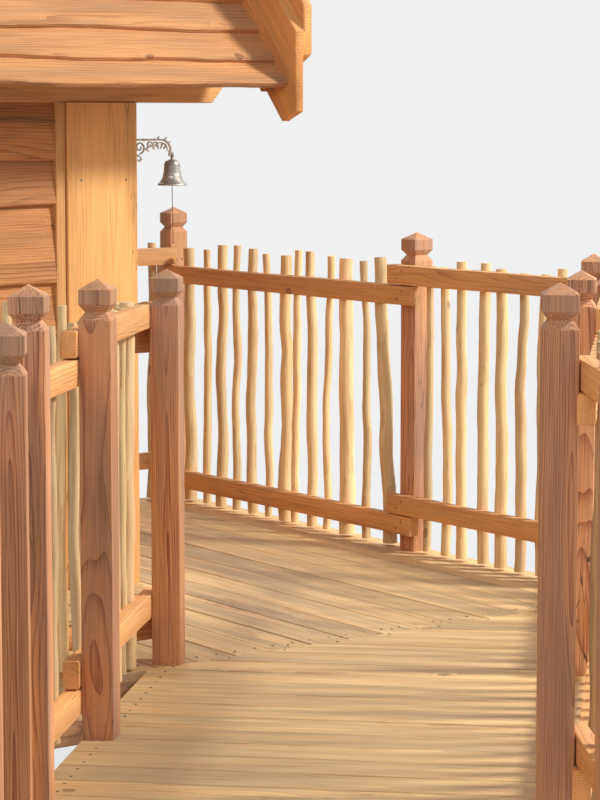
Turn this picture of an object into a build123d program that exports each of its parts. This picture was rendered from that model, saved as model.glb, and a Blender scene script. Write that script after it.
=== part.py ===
from build123d import *
from math import atan2, cos, degrees, hypot, pi, radians, sin, tan
import os

# A tree house on stilts, in millimetres. A small gabled plank cabin stands on a timber terrace, and a
# footbridge arrives at the terrace at a slant. X runs along the cabin's front wall, Y from the front
# to the back, Z up. The origin is on the ground, below the cabin's front right corner.

# Levels and timbers below the deck
deck_top = 3000
deck_thickness = 32
joist_depth = 175
joist_width = 60
joist_pitch = 480
beam_depth = 220
beam_width = 100
beam_inset = 80
leg_diameter = 190
leg_sides = 16
rim_thickness = 40
bearer_width = 75
bearer_depth = 200
bearer_inset = 25
cap_depth = 160
cap_width = 110
cap_overhang = 60
brace_drop = 620
brace_size = 80

# Cabin
cabin_length = 3000
cabin_depth = 2200
cladding_depth = 45
wall_thickness = 70
wall_height = 1780
plate_width = 100
plate_face = 10
plate_overhang = 400
plate_rake = 60
plate_rake_rise = 70
roof_pitch = 48
eave_overhang = 340
eave_height = 1816
gable_overhang = 410
first_exposure = 122
course_exposure = 148
course_butt = 52
course_head = 24
sheathing_setback = 45
rafter_depth = 180
rafter_seat = 40
rafter_width = 60
rafter_count = 5
fly_rafter_gap = 10
fly_rafter_tail = 38
fly_rafter_reach = 305
bargeboard_thickness = 34
bargeboard_depth = 285
bargeboard_rise = 160
bargeboard_reach = 88
bargeboard_heel = (92, 36)
verge_depth = 183
verge_rise = 65
verge_thickness = 38
verge_heel = (56, 32)
ridge_beam_width = 80
ridge_beam_depth = 160
ridge_board_width = 150
ridge_board_thickness = 26
corner_board_width = 340
corner_board_return = 160

# Door and windows
door_width = 720
door_height = 1640
door_from_front = 640
door_thickness = 40
lining_thickness = 30
door_gap = 4
door_stop = 14
window_width = 520
window_height = 560
window_sill = 800
window_from_left = 850
sash_width = 45
sash_thickness = 50
pane_thickness = 6

# Terrace
side_deck_width = 1324
side_deck_back = 1774
seam_from_e = 2870

# Footbridge: the first stretch leaves the terrace, and the second turns a little further
bridge_heading = 46
second_heading = 57
left_line = -375
bridge_width = 1292
post_d_back = 1361
post_c_back = 2339
post_b_back = 3106
post_i_back = 1322
post_e_back = 3006
second_bay = 880
second_bays = 4

# Railing
post_width = 90
post_height = 1270
neck_width = 60
cap_side = 44
neck_slope = 20
apex_rise = 28
apex_width = 2
rail_height = 75
rail_thickness = 46
rail_lap = 75
low_rail = 70
top_rail = 990
lapped_step = 80
stick_pitch = 112
stick_radius = 17
stick_bite = 6
stick_rise = 95
stick_sides = 5
stick_clear = 34
stick_foot = 12
stick_sway = 9

# Bell
bell_mouth = 112
bell_height = 98
bell_sides = 20
bell_mouth_level = 1474
bell_reach = 190
bell_from_front = 60
bracket_level = 1650
bracket_bar = 12
bracket_plate = (34, 6, 190)
pin_radius = 3.5
pin_clearance = 0.3
clapper_pin_radius = 2
clapper_length = 84
clapper_ball = 12
cord_diameter = 3
cord_length = 215

os.makedirs("parts", exist_ok=True)


def save(part, label):
    """Names a finished piece and writes its STEP file."""
    part.label = label
    export_step(part, f"parts/{label}.step")


def along(start, end, distance, offset=0.0):
    """A plan point at a distance from start towards end, and offset to the left of that line."""
    length = hypot(end[0] - start[0], end[1] - start[1])
    ux = (end[0] - start[0]) / length
    uy = (end[1] - start[1]) / length
    return (start[0] + ux * distance - uy * offset, start[1] + uy * distance + ux * offset)


def crossing(p, q, r, s):
    """Where the plan line through p and q meets the plan line through r and s."""
    ax, ay = q[0] - p[0], q[1] - p[1]
    bx, by = s[0] - r[0], s[1] - r[1]
    t = ((r[0] - p[0]) * by - (r[1] - p[1]) * bx) / (ax * by - ay * bx)
    return (p[0] + ax * t, p[1] + ay * t)


def length_of(p, q):
    return hypot(q[0] - p[0], q[1] - p[1])


def bridge_point(back, line):
    """A plan point of the first stretch, measured back along it and to its left from the origin."""
    a = radians(bridge_heading)
    return (-back * cos(a) - line * sin(a), -back * sin(a) + line * cos(a))


def second_point(corner, bays):
    """A post of the second stretch, some bays back from a corner post of the first."""
    a = radians(second_heading)
    return (corner[0] - second_bay * bays * cos(a), corner[1] - second_bay * bays * sin(a))


# Plan of the railing posts, named by letters
half = post_width / 2
right_line = left_line - bridge_width
fence_x = side_deck_width - half
fence_back = side_deck_back - half
fence_left = -cabin_length + half
slant = radians(bridge_heading)

post_d = bridge_point(post_d_back, left_line)
fence_front = post_d[1]
front_deck_depth = half - fence_front
post_c = bridge_point(post_c_back, left_line)
post_b = bridge_point(post_b_back, left_line)
left_far_posts = [second_point(post_b, bays) for bays in range(1, second_bays + 1)]
post_a = left_far_posts[0]
post_z = left_far_posts[-1]
post_h = (fence_x, (right_line + fence_x * sin(slant)) / cos(slant))
post_i = bridge_point(post_i_back, right_line)
post_e = bridge_point(post_e_back, right_line)
right_far_posts = [second_point(post_e, bays) for bays in range(1, second_bays + 1)]
post_y = right_far_posts[0]
post_x = right_far_posts[-1]
post_g = (fence_x, -42)
post_f = (fence_x, fence_back)
post_k = (half, fence_back)
post_l = (fence_left, fence_front)
post_m = ((post_d[0] + fence_left) / 2, fence_front)
post_j = (fence_left, -half)

# Plan outlines of the decks
left_near, left_far = along(post_c, post_d, 0, half), along(post_c, post_d, 1, half)
right_near, right_far = along(post_e, post_i, 0, -half), along(post_e, post_i, 1, -half)
seam_left = crossing(left_near, left_far, (0, -front_deck_depth), (1, -front_deck_depth))
seam_right = along(post_e, post_i, seam_from_e, -half)
side_corner = crossing(right_near, right_far, (side_deck_width, 0), (side_deck_width, 1))
left_turn = crossing(left_near, left_far, along(post_z, post_b, 0, half), along(post_z, post_b, 1, half))
right_turn = crossing(right_near, right_far, along(post_x, post_e, 0, -half), along(post_x, post_e, 1, -half))
left_end = along(post_z, post_b, -half, half)
right_end = along(post_x, post_e, -half, -half)

front_outline = [
    (-cabin_length, 0),
    (-cabin_length, -front_deck_depth),
    seam_left,
    seam_right,
    side_corner,
    (side_deck_width, side_deck_back),
    (0, side_deck_back),
]
terrace_outline = front_outline + [(0, 0)]
house_outline = front_outline + [(0, cabin_depth), (-cabin_length, cabin_depth)]
bridge_outline = [seam_left, left_turn, left_end, right_end, right_turn, seam_right]

# Levels of the timber below the deck
joist_top = deck_top - deck_thickness
joist_bottom = joist_top - joist_depth
beam_bottom = joist_bottom - beam_depth
bearer_bottom = joist_top - bearer_depth
cap_bottom = bearer_bottom - cap_depth

# Beams run along Y: each line is its X, its front end and its back end
front_end = -front_deck_depth + rim_thickness
back_end = cabin_depth - rim_thickness
side_front = side_corner[1] + 2 * beam_width
beam_lines = [
    (-cabin_length + beam_inset, front_end, back_end),
    (-cabin_length / 2, front_end, back_end),
    (-beam_inset, front_end, back_end),
    (side_deck_width - beam_inset, side_front, side_deck_back - rim_thickness),
]
house_feet = []
for x, front, back in beam_lines:
    house_feet.append((x, front + leg_diameter / 2))
    house_feet.append((x, back - leg_diameter / 2))
house_feet.append((-beam_inset, beam_inset))

with BuildPart() as house_legs:
    with BuildSketch():
        with Locations(*house_feet):
            RegularPolygon(leg_diameter / 2, leg_sides, major_radius=False)
    extrude(amount=beam_bottom)
save(house_legs.part, "house_legs")

with BuildPart() as main_beams:
    with BuildSketch(Plane.XY.offset(beam_bottom)):
        for x, front, back in beam_lines:
            with Locations((x, (front + back) / 2)):
                Rectangle(beam_width, back - front)
    extrude(amount=beam_depth)
save(main_beams.part, "main_beams")

# Knee braces between the end legs and the beams, cut to the round of the legs
brace_rise = brace_size / sin(radians(45))
with BuildPart() as leg_braces:
    for x, front, back in beam_lines:
        with BuildSketch(Plane.YZ.offset(x - brace_size / 2)):
            for axis_y, inwards in ((front + leg_diameter / 2, 1), (back - leg_diameter / 2, -1)):
                Polygon(
                    (axis_y, beam_bottom - brace_drop),
                    (axis_y, beam_bottom - brace_drop - brace_rise),
                    (axis_y + inwards * (brace_drop + brace_rise), beam_bottom),
                    (axis_y + inwards * brace_drop, beam_bottom),
                    align=None,
                )
        extrude(amount=brace_size)
    add(house_legs.part, mode=Mode.SUBTRACT)
save(leg_braces.part, "leg_braces")

with BuildPart() as deck_rim:
    with BuildSketch(Plane.XY.offset(joist_bottom)):
        Polygon(*house_outline, align=None)
        offset(amount=-rim_thickness, mode=Mode.SUBTRACT)
    extrude(amount=joist_depth)
save(deck_rim.part, "deck_rim")

with BuildPart() as floor_joists:
    with BuildSketch(Plane.XY.offset(joist_bottom)):
        row = -front_deck_depth + joist_pitch
        while row < cabin_depth - rim_thickness - joist_width:
            with Locations(((side_deck_width - cabin_length) / 2, row)):
                Rectangle(side_deck_width + cabin_length, joist_width)
            row += joist_pitch
        with BuildSketch(mode=Mode.INTERSECT):
            Polygon(*house_outline, align=None)
            offset(amount=-rim_thickness, mode=Mode.REPLACE)
    extrude(amount=joist_depth)
save(floor_joists.part, "floor_joists")

with BuildPart() as terrace_deck:
    with BuildSketch(Plane.XY.offset(joist_top)):
        Polygon(*terrace_outline, align=None)
    extrude(amount=deck_thickness)
save(terrace_deck.part, "terrace_deck")

with BuildPart() as cabin_floor:
    with BuildSketch(Plane.XY.offset(joist_top)):
        with Locations((-cabin_length / 2, cabin_depth / 2)):
            Rectangle(cabin_length, cabin_depth)
    extrude(amount=deck_thickness)
save(cabin_floor.part, "cabin_floor")

with BuildPart() as bridge_deck:
    with BuildSketch(Plane.XY.offset(joist_top)):
        Polygon(*bridge_outline, align=None)
    extrude(amount=deck_thickness)
save(bridge_deck.part, "bridge_deck")


def bearer_edge(start, turn, end, inset):
    """The footbridge's edge moved inwards: its points at the rim, at the turn and at the far end."""
    first = along(start, turn, 0, inset), along(start, turn, 1, inset)
    second = along(turn, end, 0, inset), along(turn, end, 1, inset)
    return [
        crossing(*first, seam_left, seam_right),
        crossing(*first, *second),
        along(turn, end, length_of(turn, end), inset),
    ]


bearer_lines = []
for edge, side in [((seam_left, left_turn, left_end), 1), ((seam_right, right_turn, right_end), -1)]:
    outer = bearer_edge(*edge, side * bearer_inset)
    inner = bearer_edge(*edge, side * (bearer_inset + bearer_width))
    bearer_lines.append((outer, inner))

with BuildPart() as bridge_bearers:
    with BuildSketch(Plane.XY.offset(bearer_bottom)):
        for outer, inner in bearer_lines:
            Polygon(*outer, *reversed(inner), align=None)
    extrude(amount=bearer_depth)
save(bridge_bearers.part, "bridge_bearers")

# Trestles of the footbridge: two legs and a cap beam at each station
stations = [
    (along(post_c, post_d, 0), along(post_e, post_i, length_of(post_c, post_b))),
    (post_b, post_e),
    (left_far_posts[1], right_far_posts[1]),
    (post_z, post_x),
]
trestle_feet = []
with BuildPart() as trestle_caps:
    for left, right in stations:
        middle = ((left[0] + right[0]) / 2, (left[1] + right[1]) / 2)
        span = length_of(left, right)
        across = Plane((*middle, cap_bottom), x_dir=(right[0] - left[0], right[1] - left[1], 0))
        with BuildSketch(across):
            Rectangle(span + 2 * cap_overhang, cap_width)
        extrude(amount=cap_depth)
        trestle_feet.append(along(left, right, 0))
        trestle_feet.append(along(left, right, span))
save(trestle_caps.part, "trestle_caps")

with BuildPart() as bridge_legs:
    with BuildSketch():
        with Locations(*trestle_feet):
            RegularPolygon(leg_diameter / 2, leg_sides, major_radius=False)
    extrude(amount=cap_bottom)
save(bridge_legs.part, "bridge_legs")

# Cabin walls on the floor
wall_face = cladding_depth
wall_back = cabin_depth - cladding_depth
inner_front = wall_face + wall_thickness
inner_back = wall_back - wall_thickness
right_face = -cladding_depth
left_face = -cabin_length + cladding_depth
wall_top = deck_top + wall_height
pitch = radians(roof_pitch)
middle_y = cabin_depth / 2


def under_roof(y):
    """Height of the roof's underside at a distance y from the front, for both slopes."""
    run = min(y, cabin_depth - y) + eave_overhang
    return deck_top + eave_height + run * tan(pitch)


plate_top = under_roof(plate_face) - rafter_depth / cos(pitch) + rafter_seat
window_middle = left_face + window_from_left + window_width / 2
sill_level = deck_top + window_sill
window_level = sill_level + window_height / 2
door_middle = door_from_front + door_width / 2

with BuildPart() as front_wall:
    with BuildSketch(Plane.XZ.offset(-wall_face)):
        with Locations(((left_face + right_face) / 2, deck_top + wall_height / 2)):
            Rectangle(right_face - left_face, wall_height)
        with Locations((window_middle, window_level)):
            Rectangle(window_width, window_height, mode=Mode.SUBTRACT)
    extrude(amount=-wall_thickness)
save(front_wall.part, "front_wall")

with BuildPart() as back_wall:
    with BuildSketch(Plane.XZ.offset(-inner_back)):
        with Locations(((left_face + right_face) / 2, deck_top + wall_height / 2)):
            Rectangle(right_face - left_face, wall_height)
    extrude(amount=-wall_thickness)
save(back_wall.part, "back_wall")

ridge_bottom = under_roof(middle_y - ridge_beam_width / 2) - ridge_beam_depth
gable_outline = [
    (inner_front, deck_top),
    (inner_back, deck_top),
    (inner_back, plate_top),
    (cabin_depth - plate_face, plate_top),
    (cabin_depth - plate_face, under_roof(plate_face)),
    (middle_y + ridge_beam_width / 2, under_roof(middle_y - ridge_beam_width / 2)),
    (middle_y + ridge_beam_width / 2, ridge_bottom),
    (middle_y - ridge_beam_width / 2, ridge_bottom),
    (middle_y - ridge_beam_width / 2, under_roof(middle_y - ridge_beam_width / 2)),
    (plate_face, under_roof(plate_face)),
    (plate_face, plate_top),
    (inner_front, plate_top),
]

with BuildPart() as right_wall:
    with BuildSketch(Plane.YZ.offset(right_face - wall_thickness)):
        Polygon(*gable_outline, align=None)
        with Locations((door_middle, deck_top + door_height / 2)):
            Rectangle(door_width, door_height, mode=Mode.SUBTRACT)
    extrude(amount=wall_thickness)
save(right_wall.part, "right_wall")

with BuildPart() as left_wall:
    with BuildSketch(Plane.YZ.offset(left_face)):
        Polygon(*gable_outline, align=None)
        with Locations((middle_y, window_level)):
            Rectangle(window_width, window_height, mode=Mode.SUBTRACT)
    extrude(amount=wall_thickness)
save(left_wall.part, "left_wall")

with BuildPart() as corner_boards:
    with BuildSketch(Plane.XY.offset(deck_top)):
        for x, y, side, back in [
            (0, 0, -1, 1),
            (-cabin_length, 0, 1, 1),
            (0, cabin_depth, -1, -1),
            (-cabin_length, cabin_depth, 1, -1),
        ]:
            Polygon(
                (x, y),
                (x + side * corner_board_width, y),
                (x + side * corner_board_width, y + back * cladding_depth),
                (x + side * cladding_depth, y + back * cladding_depth),
                (x + side * cladding_depth, y + back * corner_board_return),
                (x, y + back * corner_board_return),
                align=None,
            )
    extrude(amount=wall_height)
save(corner_boards.part, "corner_boards")

with BuildPart() as wall_plates:
    for face in (plate_face, cabin_depth - plate_face - plate_width):
        with BuildSketch(Plane.XZ.offset(-face)):
            Polygon(
                (-cabin_length - plate_overhang + plate_rake, wall_top),
                (plate_overhang - plate_rake, wall_top),
                (plate_overhang, wall_top + plate_rake_rise),
                (plate_overhang, plate_top),
                (-cabin_length - plate_overhang, plate_top),
                (-cabin_length - plate_overhang, wall_top + plate_rake_rise),
                align=None,
            )
        extrude(amount=-plate_width)
save(wall_plates.part, "wall_plates")

roof_length = cabin_length + 2 * gable_overhang
with BuildPart() as ridge_beam:
    with BuildSketch(Plane.YZ.offset(-cabin_length - gable_overhang)):
        with Locations((middle_y, ridge_bottom + ridge_beam_depth / 2)):
            Rectangle(ridge_beam_width, ridge_beam_depth)
    extrude(amount=roof_length)
save(ridge_beam.part, "ridge_beam")


def rafter_under(y):
    return under_roof(y) - rafter_depth / cos(pitch)


seat_end = plate_face + rafter_seat / tan(pitch)
rafter_end = middle_y - ridge_beam_width / 2
rafter_room = cabin_length - 2 * (cladding_depth + wall_thickness) - rafter_width
with BuildPart() as rafters:
    for number in range(rafter_count):
        step = rafter_room / (rafter_count - 1)
        start = left_face + wall_thickness + number * step
        with BuildSketch(Plane.YZ.offset(start)):
            Polygon(
                (plate_face, plate_top),
                (seat_end, plate_top),
                (rafter_end, rafter_under(rafter_end)),
                (rafter_end, under_roof(rafter_end)),
                (plate_face, under_roof(plate_face)),
                align=None,
            )
        extrude(amount=rafter_width)
    # One more beyond each gable, with a thin tail that carries the planks' ends
    fly_face = gable_overhang - fly_rafter_gap
    for start in (fly_face - rafter_width, -cabin_length - fly_face):
        with BuildSketch(Plane.YZ.offset(start)):
            Polygon(
                (-fly_rafter_reach, under_roof(-fly_rafter_reach) - fly_rafter_tail),
                (plate_face, under_roof(plate_face) - fly_rafter_tail),
                (plate_face, plate_top),
                (seat_end, plate_top),
                (rafter_end, rafter_under(rafter_end)),
                (rafter_end, under_roof(rafter_end)),
                (-fly_rafter_reach, under_roof(-fly_rafter_reach)),
                align=None,
            )
        extrude(amount=rafter_width)
    mirror(about=Plane.XZ.offset(-middle_y))
save(rafters.part, "rafters")

# Roof of lapped planks: each course is thick at its butt and thin at its head
slope_length = (middle_y + eave_overhang) / cos(pitch)
eave_corner = (-eave_overhang, deck_top + eave_height)


def on_slope(up, out):
    """A point of the roof's profile, a distance up the front slope and out from its underside."""
    y = eave_corner[0] + up * cos(pitch) - out * sin(pitch)
    z = eave_corner[1] + up * sin(pitch) + out * cos(pitch)
    return (y, z)


roof_profile = [on_slope(sheathing_setback, 0), on_slope(sheathing_setback, course_head), on_slope(0, course_head)]
courses = int((slope_length - first_exposure) / course_exposure)
butts = [0] + [first_exposure + course * course_exposure for course in range(courses + 1)]
for butt, next_butt in zip(butts, butts[1:]):
    roof_profile.append(on_slope(butt, course_butt))
    roof_profile.append(on_slope(next_butt, course_head))
roof_profile.append(on_slope(butts[-1], course_butt))
roof_profile.append((middle_y, under_roof(middle_y) + course_butt / cos(pitch)))
roof_profile.append((middle_y, under_roof(middle_y)))

with BuildPart() as roof_front:
    with BuildSketch(Plane.YZ.offset(-cabin_length - gable_overhang)):
        Polygon(*roof_profile, align=None)
    extrude(amount=roof_length)
save(roof_front.part, "roof_front")

with BuildPart() as roof_back:
    add(mirror(roof_front.part, about=Plane.XZ.offset(-middle_y)))
save(roof_back.part, "roof_back")



def slope_at_ridge(out):
    """How far up the slope the line at this distance out from the underside reaches the ridge."""
    return (middle_y + eave_overhang + out * sin(pitch)) / cos(pitch)


board_under = course_butt
board_over = course_butt + ridge_board_thickness
with BuildPart() as ridge_boards:
    with BuildSketch(Plane.YZ.offset(-cabin_length - gable_overhang)):
        Polygon(
            on_slope(slope_at_ridge(board_under), board_under),
            on_slope(slope_at_ridge(board_over), board_over),
            on_slope(slope_at_ridge(board_over) - ridge_board_width, board_over),
            on_slope(slope_at_ridge(board_over) - ridge_board_width, board_under),
            align=None,
        )
    extrude(amount=roof_length)
    mirror(about=Plane.XZ.offset(-middle_y))
save(ridge_boards.part, "ridge_boards")

# Bargeboards over the ends of the planks
barge_top = course_butt + bargeboard_rise
barge_low = barge_top - bargeboard_depth
verge_top = barge_top + verge_rise
foot_y = -eave_overhang - bargeboard_reach


def slope_level(y, out):
    """Height of the line parallel to the front slope, out from the roof's underside, at y."""
    return under_roof(y) + out / cos(pitch)


def bargeboards(inner_face, outward):
    """Two boards that meet at the ridge, with a narrower verge board on the upper edge of each.

    Their feet are cut plumb in front, with a heel below that falls towards the back.
    """
    with BuildPart() as boards:
        for face, low, top, (heel, heel_rise), thickness in [
            (inner_face, barge_low, barge_top, bargeboard_heel, bargeboard_thickness),
            (
                inner_face + outward * bargeboard_thickness,
                verge_top - verge_depth,
                verge_top,
                verge_heel,
                verge_thickness,
            ),
        ]:
            with BuildSketch(Plane.YZ.offset(face)):
                Polygon(
                    (foot_y, slope_level(foot_y + heel, low) + heel_rise),
                    (foot_y + heel, slope_level(foot_y + heel, low)),
                    (middle_y, slope_level(middle_y, low)),
                    (middle_y, slope_level(middle_y, top)),
                    (foot_y, slope_level(foot_y, top)),
                    align=None,
                )
            extrude(amount=outward * thickness)
        mirror(about=Plane.XZ.offset(-middle_y))
    return boards.part


save(bargeboards(gable_overhang, 1), "right_bargeboards")
save(bargeboards(-cabin_length - gable_overhang, -1), "left_bargeboards")

# Door in its lining, shut against a stop
door_plane = Plane.YZ.offset(right_face - wall_thickness)
lining_depth = wall_thickness + cladding_depth
clear_width = door_width - 2 * lining_thickness
clear_height = door_height - lining_thickness
with BuildPart() as door_lining:
    with BuildSketch(door_plane):
        with Locations((door_middle, deck_top + door_height / 2)):
            Rectangle(door_width, door_height)
        with Locations((door_middle, deck_top + clear_height / 2)):
            Rectangle(clear_width, clear_height, mode=Mode.SUBTRACT)
    extrude(amount=lining_depth)
    with BuildSketch(door_plane):
        with Locations((door_middle, deck_top + clear_height / 2)):
            Rectangle(clear_width, clear_height)
        with Locations((door_middle, deck_top + (clear_height - door_stop) / 2)):
            Rectangle(clear_width - 2 * door_stop, clear_height - door_stop, mode=Mode.SUBTRACT)
    extrude(amount=lining_depth - door_thickness - 5)
save(door_lining.part, "door_lining")

with BuildPart() as door:
    with BuildSketch(door_plane.offset(lining_depth - door_thickness - 5)):
        with Locations((door_middle, deck_top + door_gap + (clear_height - 2 * door_gap) / 2)):
            Rectangle(clear_width - 2 * door_gap, clear_height - 2 * door_gap)
    extrude(amount=door_thickness)
save(door.part, "door")

# Windows: a sash in each opening, with its pane
sash_setback = wall_thickness - sash_thickness
front_sash = Plane.XZ.offset(-wall_face - sash_setback / 2)
left_sash = Plane.YZ.offset(left_face + sash_setback / 2)
with BuildPart() as window_sashes:
    with BuildSketch(front_sash):
        with Locations((window_middle, window_level)):
            Rectangle(window_width, window_height)
            Rectangle(window_width - 2 * sash_width, window_height - 2 * sash_width, mode=Mode.SUBTRACT)
    extrude(amount=-sash_thickness)
    with BuildSketch(left_sash):
        with Locations((middle_y, window_level)):
            Rectangle(window_width, window_height)
            Rectangle(window_width - 2 * sash_width, window_height - 2 * sash_width, mode=Mode.SUBTRACT)
    extrude(amount=sash_thickness)
save(window_sashes.part, "window_sashes")

with BuildPart() as window_panes:
    with BuildSketch(front_sash.offset(-(sash_thickness - pane_thickness) / 2)):
        with Locations((window_middle, window_level)):
            Rectangle(window_width - 2 * sash_width, window_height - 2 * sash_width)
    extrude(amount=-pane_thickness)
    with BuildSketch(left_sash.offset((sash_thickness - pane_thickness) / 2)):
        with Locations((middle_y, window_level)):
            Rectangle(window_width - 2 * sash_width, window_height - 2 * sash_width)
    extrude(amount=pane_thickness)
save(window_panes.part, "window_panes")


# Railing posts with carved heads
def carved_post(foot, heading, height):
    """A square post whose head is cut to a neck on all four sides and ends in a low pyramid."""
    cap_top = height - apex_rise
    cap_bottom_level = cap_top - cap_side
    neck = cap_bottom_level - neck_slope
    outline = [
        (half, 0),
        (half, neck - neck_slope),
        (neck_width / 2, neck),
        (half, cap_bottom_level),
        (half, cap_top),
        (apex_width / 2, height),
    ]
    outline += [(-x, z) for x, z in reversed(outline)]
    a = radians(heading)
    with BuildPart() as post:
        with BuildSketch(Plane((*foot, deck_top), x_dir=(cos(a), sin(a), 0), z_dir=(sin(a), -cos(a), 0))):
            Polygon(*outline, align=None)
        extrude(amount=half, both=True)
        with BuildSketch(Plane((*foot, deck_top), x_dir=(sin(a), -cos(a), 0), z_dir=(-cos(a), -sin(a), 0))):
            Polygon(*outline, align=None)
        extrude(amount=half, both=True, mode=Mode.INTERSECT)
    return post.part


panels = {}


def waver(number, reach):
    """A small uneven value between -reach and reach, the same every time."""
    return reach * sin(number * 2.399 + 0.7 * sin(number * 1.71))


def crooked_stick(foot, knee, head, heading, radius):
    """A peeled stick in two straight stretches, from its foot past its knee to its sawn head."""
    with BuildPart() as stick:
        for start, end in ((foot, knee), (knee, head)):
            with BuildSketch(Plane(start, x_dir=heading)):
                RegularPolygon(radius, stick_sides)
            extrude(amount=(Vector(*end) - Vector(*start)).length, dir=Vector(*end) - Vector(*start))
    return stick.part


# Sticks of the two bays that face the footbridge: places of foot and head from the bay's start,
# set out for bays of these lengths
set_spans = {"terrace_panel_gh": 1033.2975, "terrace_panel_fg": 1771}
set_sticks = {
    "terrace_panel_gh": [
        (151, 145),
        (250, 239),
        (348, 352),
        (474, 467),
        (565, 573),
        (712, 704),
        (800, 808),
        (915, 907),
    ],
    "terrace_panel_fg": [
        (118, 182),
        (285, 288),
        (406, 417),
        (561, 534),
        (661, 667),
        (772, 760),
        (866, 847),
        (968, 979),
        (1101, 1092),
        (1217, 1214),
        (1336, 1330),
        (1455, 1448),
        (1577, 1585),
    ],
}


def stick_places(label, start, end):
    """Where the sticks of a bay stand: foot and head as distances from its start."""
    span = length_of(start, end)
    if label in set_sticks:
        stretch = span / set_spans[label]
        return [(foot * stretch, head * stretch) for foot, head in set_sticks[label]]
    room = span - post_width - 2 * (stick_radius + stick_clear)
    count = int(room / stick_pitch) + 1
    places = []
    for number in range(count):
        seed = number + start[0] * 0.013 + end[1] * 0.007
        place = (span - room) / 2 + room * (number + 0.5) / count + waver(seed, 12)
        places.append((place, place + waver(seed * 1.9, 12)))
    return places


def railing_panel(label, start, end, raised, rail_side, stick_side, first_lap, last_lap):
    """One bay of railing from post to post: two rails that run past the posts, and crooked sticks.

    rail_side and stick_side are distances of the rails' and the sticks' middles to the left of the
    line from start to end.
    """
    span = length_of(start, end)
    heading = (end[0] - start[0], end[1] - start[1], 0)
    lift = lapped_step if raised else 0
    top = top_rail + rail_height + stick_rise
    sticks = []
    for number, (foot_place, head_place) in enumerate(stick_places(label, start, end)):
        seed = number + start[0] * 0.013 + end[1] * 0.007
        spots = []
        for height in (stick_foot, top * (0.5 + waver(seed * 0.9, 0.12)), top + waver(seed * 2.1, 14)):
            lean = (head_place - foot_place) * height / top
            place = foot_place + lean + waver(seed * 3.7 + height, stick_sway)
            spots.append((*along(start, end, place, stick_side), deck_top + height))
        sticks.append(crooked_stick(*spots, heading, stick_radius + waver(seed * 1.3, 3)))
    with BuildPart() as panel:
        for level in (low_rail + lift, top_rail + lift):
            middle = along(start, end, (span + last_lap - first_lap) / 2, rail_side)
            with BuildSketch(Plane((*middle, deck_top + level), x_dir=heading)):
                Rectangle(span + first_lap + last_lap, rail_thickness)
            extrude(amount=rail_height)
        add(sticks)
    panels[label] = panel.part
    save(panel.part, label)


# On the footbridge the rails are outside the posts and the sticks outside the rails
rail_out = half + rail_thickness / 2
stick_out = half + rail_thickness + stick_radius - stick_bite
# On the terrace the rails are inside the posts and the sticks stand between the posts
stick_in = half - stick_radius + stick_bite
# A terrace rail ends at the face of a post that is turned to the footbridge
end_gap = 0.3
side_turned = half * (1 - sin(slant)) / cos(slant) + end_gap
front_turned = half * (1 - cos(slant)) / sin(slant) + end_gap

for label, start, end, raised in [
    ("bridge_panel_dc", post_c, post_d, True),
    ("bridge_panel_cb", post_b, post_c, False),
    ("bridge_panel_ba", post_a, post_b, True),
    ("bridge_panel_az", left_far_posts[1], left_far_posts[0], False),
    ("bridge_panel_zw", left_far_posts[2], left_far_posts[1], True),
    ("bridge_panel_wv", left_far_posts[3], left_far_posts[2], False),
]:
    railing_panel(label, start, end, raised, rail_out, stick_out, rail_lap, rail_lap)
for label, start, end, raised in [
    ("bridge_panel_hi", post_i, post_h, True),
    ("bridge_panel_ie", post_e, post_i, False),
    ("bridge_panel_ey", post_y, post_e, True),
    ("bridge_panel_yx", right_far_posts[1], right_far_posts[0], False),
    ("bridge_panel_xu", right_far_posts[2], right_far_posts[1], True),
    ("bridge_panel_ut", right_far_posts[3], right_far_posts[2], False),
]:
    railing_panel(label, start, end, raised, -rail_out, -stick_out, rail_lap, rail_lap)
for label, start, end, raised, first_lap, last_lap in [
    ("terrace_panel_gh", post_h, post_g, True, -side_turned, rail_lap),
    ("terrace_panel_fg", post_g, post_f, False, rail_lap, 0),
    ("terrace_panel_kf", post_f, post_k, True, -half, half),
    ("terrace_panel_jl", post_j, post_l, False, half, 0),
    ("terrace_panel_lm", post_l, post_m, True, -half, rail_lap),
    ("terrace_panel_md", post_m, post_d, False, rail_lap, -front_turned),
]:
    railing_panel(label, start, end, raised, rail_out, stick_in, first_lap, last_lap)

bend = (bridge_heading + second_heading) / 2
left_feet = [
    (post_d, bridge_heading, post_height - 15),
    (post_c, bridge_heading, post_height + 15),
    (post_b, bend, post_height + 50),
]
right_feet = [
    (post_h, bridge_heading, post_height - 35),
    (post_i, bridge_heading, post_height - 10),
    (post_e, bend, post_height + 60),
]
for bays in range(second_bays):
    left_feet.append((left_far_posts[bays], second_heading, post_height + 30 - 25 * (bays % 2)))
    right_feet.append((right_far_posts[bays], second_heading, post_height + 10 + 20 * (bays % 2)))
terrace_feet = [
    (post_g, 0, post_height + 5),
    (post_f, 0, post_height + 55),
    (post_k, 0, post_height + 20),
    (post_m, 0, post_height - 5),
    (post_l, 0, post_height + 30),
    (post_j, 0, post_height + 10),
]
for label, feet, trims in [
    ("left_bridge_posts", left_feet, ("bridge_panel_cb", "bridge_panel_ba")),
    ("right_bridge_posts", right_feet, ("bridge_panel_ie", "bridge_panel_ey")),
    ("terrace_posts", terrace_feet, ()),
]:
    with BuildPart() as posts:
        add([carved_post(*foot) for foot in feet])
        for trim in trims:
            add(panels[trim], mode=Mode.SUBTRACT)
    save(posts.part, label)

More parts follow.
